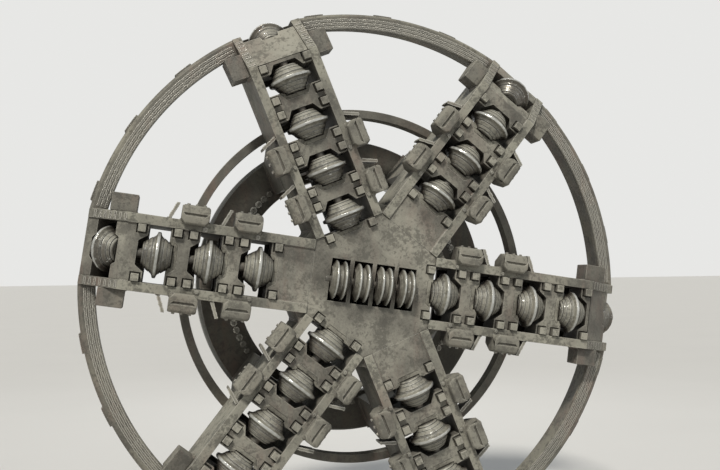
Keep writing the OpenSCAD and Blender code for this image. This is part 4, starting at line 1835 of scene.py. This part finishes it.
@dataclass
class Dirt:
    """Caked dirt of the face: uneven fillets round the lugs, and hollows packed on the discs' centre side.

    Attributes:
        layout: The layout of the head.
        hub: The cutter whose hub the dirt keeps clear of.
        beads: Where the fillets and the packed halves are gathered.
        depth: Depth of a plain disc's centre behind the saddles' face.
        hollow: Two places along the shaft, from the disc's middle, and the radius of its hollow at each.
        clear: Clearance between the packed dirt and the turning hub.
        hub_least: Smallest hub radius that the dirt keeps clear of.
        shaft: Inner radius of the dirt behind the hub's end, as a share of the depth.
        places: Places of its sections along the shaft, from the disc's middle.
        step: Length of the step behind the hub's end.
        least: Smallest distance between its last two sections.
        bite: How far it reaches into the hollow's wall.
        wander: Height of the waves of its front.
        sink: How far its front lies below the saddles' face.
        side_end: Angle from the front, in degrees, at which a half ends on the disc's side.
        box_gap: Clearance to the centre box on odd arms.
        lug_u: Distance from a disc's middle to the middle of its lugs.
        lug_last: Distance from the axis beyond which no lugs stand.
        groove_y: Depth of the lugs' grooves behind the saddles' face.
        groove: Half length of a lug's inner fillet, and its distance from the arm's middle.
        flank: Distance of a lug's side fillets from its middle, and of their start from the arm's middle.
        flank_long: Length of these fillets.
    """

    layout: Layout
    hub: DiscCutter
    beads: Beads = field(
        default_factory=lambda: Beads("caked_dirt", DIRT, ripple=0.050, swell=0.05, rough=0.42))
    depth: float = 0.0665
    hollow: tuple[tuple[float, float], tuple[float, float]] = ((0.110, 0.200), (0.200, 0.140))
    clear: float = 0.010
    hub_least: float = 0.125
    shaft: float = 1.00001
    places: tuple[float, ...] = (0.198, 0.188, 0.176, 0.166, 0.150, 0.141, 0.132, 0.123, 0.1125)
    step: float = 0.0005
    least: float = 0.002
    bite: float = 0.003
    wander: float = 0.003
    sink: float = 0.002
    side_end: float = 80.0
    box_gap: float = 0.002
    lug_u: float = 0.1825
    lug_last: float = 2.5
    groove_y: float = 0.0290
    groove: tuple[float, float] = (0.052, 0.2005)
    flank: tuple[float, float] = (0.0535, 0.203)
    flank_long: float = 0.085

    def sections(self, nearest: float) -> Vec:
        """Places along the shaft at which a packed half has a section, from the far end to the disc.

        Args:
            nearest: Smallest distance from the disc's middle.

        Returns:
            The places, with one on each side of the step behind the hub's end.
        """
        end = self.hub.hub_half + self.clear
        place = np.sort([*self.places, end, end + self.step])[::-1]
        return np.append(place[place > nearest + self.least], nearest)

    def packing(self, nearest: float, seed: int) -> Shape:
        """One half of the dirt in a hollow: ring sectors along the shaft, cut off level in front.

        A sector lies between the hub's radius plus the clearance and the hollow's radius. Behind the hub's
        end it closes round the shaft. Its front wanders by waves of a few millimetres.

        Args:
            nearest: Smallest distance from the disc's middle along the shaft.
            seed: Seed of the waves.

        Returns:
            A closed shape with X along the shaft, Y across the arm and Z out of the face.
        """
        place = self.sections(nearest)
        behind_hub = place > self.hub.hub_half + self.clear
        hub = np.array(self.hub.half_profile())[::-1]
        surface = np.array([hub[hub[:, 0] <= x, 1][-1] for x in np.minimum(place, self.hub.hub_half)])
        round_hub = np.maximum(surface, self.hub_least) + self.clear
        inner = np.where(behind_hub, self.depth * self.shaft, round_hub)
        outer = np.interp(place, *zip(*self.hollow)) + self.bite
        share = np.linspace(0, 1, 5)
        wander = self.wander * waves(place[:, None] * 9 + share * 0.7, seed, count=5, low=1, high=6)
        front = self.depth + wander - self.sink
        across = [np.sqrt(np.maximum(r ** 2 - self.depth ** 2, 0)) for r in (inner, outer)]
        face = np.stack([across[1][:, None] * (1 - share) + across[0][:, None] * share, front], axis=-1)
        arcs = []
        for radius in (inner, outer):
            start = np.arccos(np.minimum(self.depth / radius, 1))[:, None]
            angle = start + (math.radians(self.side_end) - start) * share[1:]
            arcs.append(radius[:, None, None] * np.stack([np.sin(angle), np.cos(angle)], axis=-1))
        loop = np.concatenate([face, arcs[0], arcs[1][:, ::-1]], axis=1)
        along = np.broadcast_to(-place[:, None, None], loop.shape[:2] + (1,))
        return swept_shape(np.concatenate([along, loop], axis=-1))

    def hollows(self, arm: int) -> None:
        """Packs the centre side of an arm's plain discs.

        Args:
            arm: Number of the arm. On odd arms the first disc stands close to the centre box.
        """
        lay = self.layout
        for number, u in enumerate(lay.plain_discs(arm)):
            nearest = self.places[-1]
            if number == 0 and arm % 2:
                nearest = max(nearest, u - lay.box_flat + self.box_gap)
            origin = lay.place(arm, u, 0, lay.saddle_y + self.depth)
            for side in lay.sides(arm):
                half = self.packing(nearest, 10 * arm + number + 60 * (side.side is Side.LEADING))
                self.beads.shape.add(half.moved(origin, side.along, side.out, FRONT_WAY))

    def lug_fillets(self, side: ArmSide, u: float) -> None:
        """Adds the fillets round one lug.

        Args:
            side: The side of the arm that it stands on.
            u: Distance of its middle from the axis.
        """
        y = self.layout.saddle_y + self.groove_y
        half, inner = self.groove
        start = side.at(u - half, inner, y)
        self.beads.seam(start, start + 2 * half * side.along, FRONT_WAY, side.out, size=0.011)
        for way in (-1, 1):
            start = side.at(u + way * self.flank[0], self.flank[1], y)
            end = start + self.flank_long * side.out
            self.beads.seam(start, end, FRONT_WAY, -way * side.along, size=0.010)

    def build(self) -> bpy.types.Object:
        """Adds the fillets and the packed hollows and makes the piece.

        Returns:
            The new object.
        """
        lay = self.layout
        for arm in lay.arms:
            self.hollows(arm)
            lugs = [u + way * self.lug_u for u in lay.plain_discs(arm) for way in (-1, 1)]
            for side in lay.sides(arm):
                for u in lugs:
                    if u <= self.lug_last:
                        self.lug_fillets(side, u)
        return self.beads.build()


@dataclass(frozen=True)
class BoltKind:
    """A hexagon bolt with its washer.

    Attributes:
        flats: Width of the head across its flats.
        height: Height of the head.
        washer: Radius of the washer.
        washer_t: Its thickness.
        washer_edge: Bevel of the washer, and how far its underside lies below the seat.
        top: Size of the bevelled top, as a share of the head's corners.
        top_from: Where the top's bevel begins, as a share of the height.
    """

    flats: float
    height: float
    washer: float
    washer_t: float = 0.004
    washer_edge: float = 0.001
    top: float = 0.88
    top_from: float = 0.86

    def shape(self) -> Shape:
        """The bolt along X, with its washer's underside just below 0.

        Returns:
            A shape of two closed surfaces, the head and the washer.
        """
        corner, t = self.flats / math.sqrt(3), self.washer_t
        angle = np.radians(np.arange(0, 360, 60))[:, None]
        level = np.array([t, t + self.height * self.top_from, t + self.height])
        radius = np.array([1.0, 1.0, self.top]) * corner
        around = np.concatenate([0 * angle, np.cos(angle), np.sin(angle)], axis=1)
        head = around[None] * radius[:, None, None] + level[:, None, None] * np.array([1.0, 0.0, 0.0])
        profile = np.array([
            (t, self.washer - self.washer_edge), (t * 0.7, self.washer), (-self.washer_edge, self.washer),
            (-self.washer_edge, corner * 0.5), (t, corner * 0.5),
        ])
        return swept_shape(head).add(turned_shape(profile, segments=24))


@dataclass
class Bolts:
    """Bolt heads of one kind, gathered in one shape.

    Attributes:
        kind: The kind of bolt.
        origins: Where each one sits.
        normals: Which way each one points.
    """

    kind: BoltKind
    origins: list[Vec] = field(default_factory=list)
    normals: list[Vec] = field(default_factory=list)

    def add(self, origin: Vec, normal: Vec) -> None:
        """Notes one bolt: where it sits and which way it points."""
        self.origins.append(origin)
        self.normals.append(normal)

    def build(self, name: str, seed: int) -> bpy.types.Object:
        """Makes the piece, each bolt turned by its own seeded angle.

        Args:
            name: The piece's name.
            seed: Seed of the angles.

        Returns:
            The new object.
        """
        normal = np.array(self.normals)
        helper = np.where(np.abs(normal[:, 1:2]) > 0.7, (1.0, 0.0, 0.0), (0.0, 1.0, 0.0))
        first = np.cross(normal, helper)
        first /= np.linalg.norm(first, axis=1, keepdims=True)
        second = np.cross(normal, first)
        angle = np.random.default_rng(seed).uniform(0, math.pi, len(normal))[:, None]
        y_axis = first * np.cos(angle) + second * np.sin(angle)
        shape = self.kind.shape().repeated(np.array(self.origins), normal, y_axis, np.cross(normal, y_axis))
        return make_piece(name, shape, BOLT, HEAD, sharp=30.0)


@dataclass
class Fasteners:
    """All bolt heads of the head: on the side plates, the scrapers, the leg flange and the coupling.

    Attributes:
        layout: The layout of the head.
        scrapers: The scrapers that are bolted on.
        plate_at: Place of a plate bolt: before the scraper's middle, and in from the arm's edge.
        tooth_shifts: Places of a scraper's bolts, from its middle.
        tooth_drop: How far these lie behind the front edges.
        flange_bolts_r: Radius of the leg flange's bolt circle.
        flange_turns: First and last bolt between two legs, in degrees from the arm, and their number.
        coupling_bolts_r: Radius of the coupling's bolt circle.
        coupling_flange: Thickness of the coupling's flange.
        coupling_pitch: Degrees between its bolts.
    """

    layout: Layout
    scrapers: Scrapers
    plate_at: tuple[float, float] = (0.118, 0.070)
    tooth_shifts: tuple[float, ...] = (-0.085, 0.0, 0.085)
    tooth_drop: float = 0.012
    flange_bolts_r: float = 1.4625
    flange_turns: tuple[float, float, int] = (19.0, 41.0, 7)
    coupling_bolts_r: float = 0.220
    coupling_flange: float = 0.050
    coupling_pitch: int = 20

    def build(self) -> None:
        """Places each group and makes its piece."""
        self.arms()
        self.flange()
        self.coupling()

    def arms(self) -> None:
        """Makes the bolts on the side plates and those on the scrapers."""
        lay = self.layout
        plates = Bolts(BoltKind(flats=0.036, height=0.018, washer=0.026))
        teeth = Bolts(BoltKind(flats=0.030, height=0.014, washer=0.021))
        before, inside = self.plate_at
        for side in (side for arm in lay.arms for side in lay.sides(arm)):
            for u in self.scrapers.places(side.arm):
                plates.add(side.at(u - before, lay.half - inside, lay.front), FRONT_WAY)
                for shift in self.tooth_shifts:
                    seat = side.at(u + shift, lay.half + self.scrapers.wide, lay.front + self.tooth_drop)
                    teeth.add(seat, side.out)
        plates.build("plate_bolts", seed=3)
        teeth.build("scraper_bolts", seed=4)

    def flange(self) -> None:
        """Makes the bolts that hold the leg flange to the bearing, between the legs."""
        lay = self.layout
        bolts = Bolts(BoltKind(flats=0.060, height=0.026, washer=0.042, washer_t=0.006))
        y = float(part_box("leg_flange")[0][1])
        for arm in lay.arms:
            for turn in np.radians(np.linspace(*self.flange_turns)):
                out = math.cos(turn) * lay.along(arm) + math.sin(turn) * lay.across(arm)
                bolts.add(out * self.flange_bolts_r + (0, y, 0), FRONT_WAY)
        bolts.build("flange_bolts", seed=5)

    def coupling(self) -> None:
        """Makes the bolts round the rotary coupling's flange."""
        lay = self.layout
        bolts = Bolts(BoltKind(flats=0.024, height=0.012, washer=0.017, washer_t=0.003))
        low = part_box("rotary_coupling")[0]
        for turn in np.radians(np.arange(0, 360, self.coupling_pitch)):
            out = math.cos(turn) * lay.along(1) + math.sin(turn) * lay.across(1)
            bolts.add(out * self.coupling_bolts_r + (0, float(low[1]) + self.coupling_flange, 0), BACK_WAY)
        bolts.build("coupling_bolts", seed=6)


# Studio

@dataclass(frozen=True)
class Lamp:
    """A soft square lamp of the studio.

    Attributes:
        name: Its name.
        at: Where it stands.
        size: Length of its edges.
        power: Its power in watts.
    """

    name: str
    at: tuple[float, float, float]
    size: float
    power: float


@dataclass
class Studio:
    """A plain pale floor, soft light and the camera at the photograph's viewing angle.

    Attributes:
        camera_at: Place of the camera.
        yaw: Degrees by which it looks to the right of +Y.
        pitch: Degrees by which it looks up.
        roll: Degrees by which it is turned about its view.
        lens: Focal length in millimetres on a sensor 36 mm wide.
        floor_size: Length of the floor's edges.
        floor_gap: How far the floor lies below the head.
        floor_colour: Its colour.
        floor_fleck: Brightness of its paler areas, as a share of its colour.
        backdrop: Colour of the background.
        sky: Colour of the sky's light.
        sky_strength: Its strength.
        key_at: Direction that the key light comes from.
        key_power: Its strength.
        key_angle: Its apparent size in degrees.
        lamps: The other lamps.
    """

    camera_at: tuple[float, float, float] = (-2.243, -10.085, 0.119)
    yaw: float = 14.0
    pitch: float = 2.8
    roll: float = 0.72
    lens: float = 40.0
    floor_size: float = 700.0
    floor_gap: float = 0.004
    floor_colour: Colour = (0.62, 0.61, 0.585)
    floor_fleck: float = 1.05
    backdrop: Colour = (0.80, 0.80, 0.785)
    sky: Colour = (0.86, 0.93, 1.0)
    sky_strength: float = 0.26
    key_at: tuple[float, float, float] = (-5.0, -9.5, 12.5)
    key_power: float = 2.9
    key_angle: float = 9.0
    lamps: tuple[Lamp, ...] = (
        Lamp("fill", (9.0, -9.0, 3.0), size=7.0, power=90.0),
        Lamp("back", (3.0, 11.0, 7.0), size=6.0, power=300.0),
    )

    def build(self) -> None:
        """Makes the floor, the lights, the world and the camera."""
        self.floor()
        self.lights()
        self.world()
        self.camera()
        bpy.context.scene.view_settings.view_transform = "Standard"

    def floor(self) -> None:
        """Makes a wide flat floor just under the rim."""
        low = float(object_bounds()[0][2]) - self.floor_gap
        half = self.floor_size / 2
        points = np.array([(-half, -half, low), (half, -half, low), (half, half, low), (-half, half, low)])
        mesh = bpy.data.meshes.new("floor")
        mesh.from_pydata(points.tolist(), [], [(0, 1, 2, 3)])
        material = bpy.data.materials.new("floor_screed")
        material.use_nodes = True
        graph = Graph(material.node_tree)
        shader = material.node_tree.nodes["Principled BSDF"]
        cloud = graph.noise(graph.place(), scale=0.35, detail=4.0)
        pale = tuple(self.floor_fleck * part for part in self.floor_colour)
        graph.feed(shader.inputs["Base Color"], graph.mix(cloud, self.floor_colour, pale))
        shader.inputs["Roughness"].default_value = 0.85
        mesh.materials.append(material)
        floor = bpy.data.objects.new("floor", mesh)
        bpy.context.scene.collection.objects.link(floor)
        floor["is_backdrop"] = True

    def lights(self) -> None:
        """Makes a soft key from the front, above and left, and the weaker lamps."""
        key = bpy.data.lights.new("key", "SUN")
        key.energy, key.angle = self.key_power, math.radians(self.key_angle)
        key.color = (1.0, 0.965, 0.90)
        self.aim(key, self.key_at)
        for lamp in self.lamps:
            light = bpy.data.lights.new(lamp.name, "AREA")
            light.size, light.energy, light.color = lamp.size, lamp.power, (0.93, 0.965, 1.0)
            self.aim(light, lamp.at)

    def aim(self, light: bpy.types.Light, at: tuple[float, float, float]) -> None:
        """Places a light and turns it to the head's centre.

        Args:
            light: The light's data.
            at: Where it stands.
        """
        made = bpy.data.objects.new(light.name, light)
        made.location = at
        way = -np.array(at) / np.linalg.norm(at)
        made.rotation_euler = (math.acos(-way[2]), 0.0, math.atan2(-way[0], way[1]))
        bpy.context.scene.collection.objects.link(made)

    def world(self) -> None:
        """Makes a pale background for what the camera and gloss see, and a softer sky for the light."""
        world = bpy.data.worlds.new("studio")
        bpy.context.scene.world = world
        world.use_nodes = True
        tree = world.node_tree
        graph = Graph(tree)
        rays = graph.node("LightPath")
        seen = graph.math("ADD", rays.outputs["Is Camera Ray"], rays.outputs["Is Glossy Ray"], clamp=True)
        seen = graph.math("ADD", seen, rays.outputs["Is Transmission Ray"], clamp=True)
        background = tree.nodes["Background"]
        light = tuple(self.sky_strength * part for part in self.sky)
        graph.feed(background.inputs["Color"], graph.mix(seen, light, self.backdrop))

    def camera(self) -> None:
        """Makes the camera, turned by yaw, pitch and roll from a level view along +Y."""
        data = bpy.data.cameras.new("camera")
        data.lens, data.sensor_width = self.lens, 36.0
        data.clip_end = 1000.0
        made = bpy.data.objects.new("camera", data)
        yaw, pitch, roll = (math.radians(a) for a in (self.yaw, self.pitch, self.roll))
        turn = rotation("Z", -yaw) @ rotation("X", math.pi / 2 + pitch) @ rotation("Z", -roll)
        rows = np.vstack([np.column_stack([turn, self.camera_at]), (0, 0, 0, 1)])
        made.matrix_world = Matrix(rows.tolist())
        bpy.context.scene.collection.objects.link(made)
        bpy.context.scene.camera = made


def rotation(axis: str, angle: float) -> Vec:
    """The matrix that turns by an angle about X or Z.

    Args:
        axis: X or Z.
        angle: The angle in radians.

    Returns:
        A matrix of three rows and columns.
    """
    c, s = math.cos(angle), math.sin(angle)
    if axis == "X":
        return np.array([[1, 0, 0], [0, c, -s], [0, s, c]])
    return np.array([[c, -s, 0], [s, c, 0], [0, 0, 1]])


def main() -> None:
    """Builds the head piece by piece, then the studio."""
    logging.basicConfig(level=logging.INFO, format="%(message)s")
    layout = Layout()
    Steelwork().build()
    single, twin = DiscCutter(), TwinCutter()
    turning = [joint["child"] for joint in frame["joints"]]
    for seed, name in enumerate(sorted(n for n in turning if n.startswith(("disc_", "twin_")))):
        (twin if name.startswith("twin_") else single).build(name, seed)
    scrapers = Scrapers(layout)
    scrapers.build(Side.LEADING, "leading_scrapers")
    scrapers.build(Side.TRAILING, "trailing_scrapers")
    FrontWelds(layout, scrapers).build()
    BackWelds(layout).build()
    HardFacing(layout).build()
    RibFacing(layout, scrapers).build()
    Dirt(layout, single).build()
    Fasteners(layout, scrapers).build()
    Studio().build()


if __name__ == "__main__":
    main()
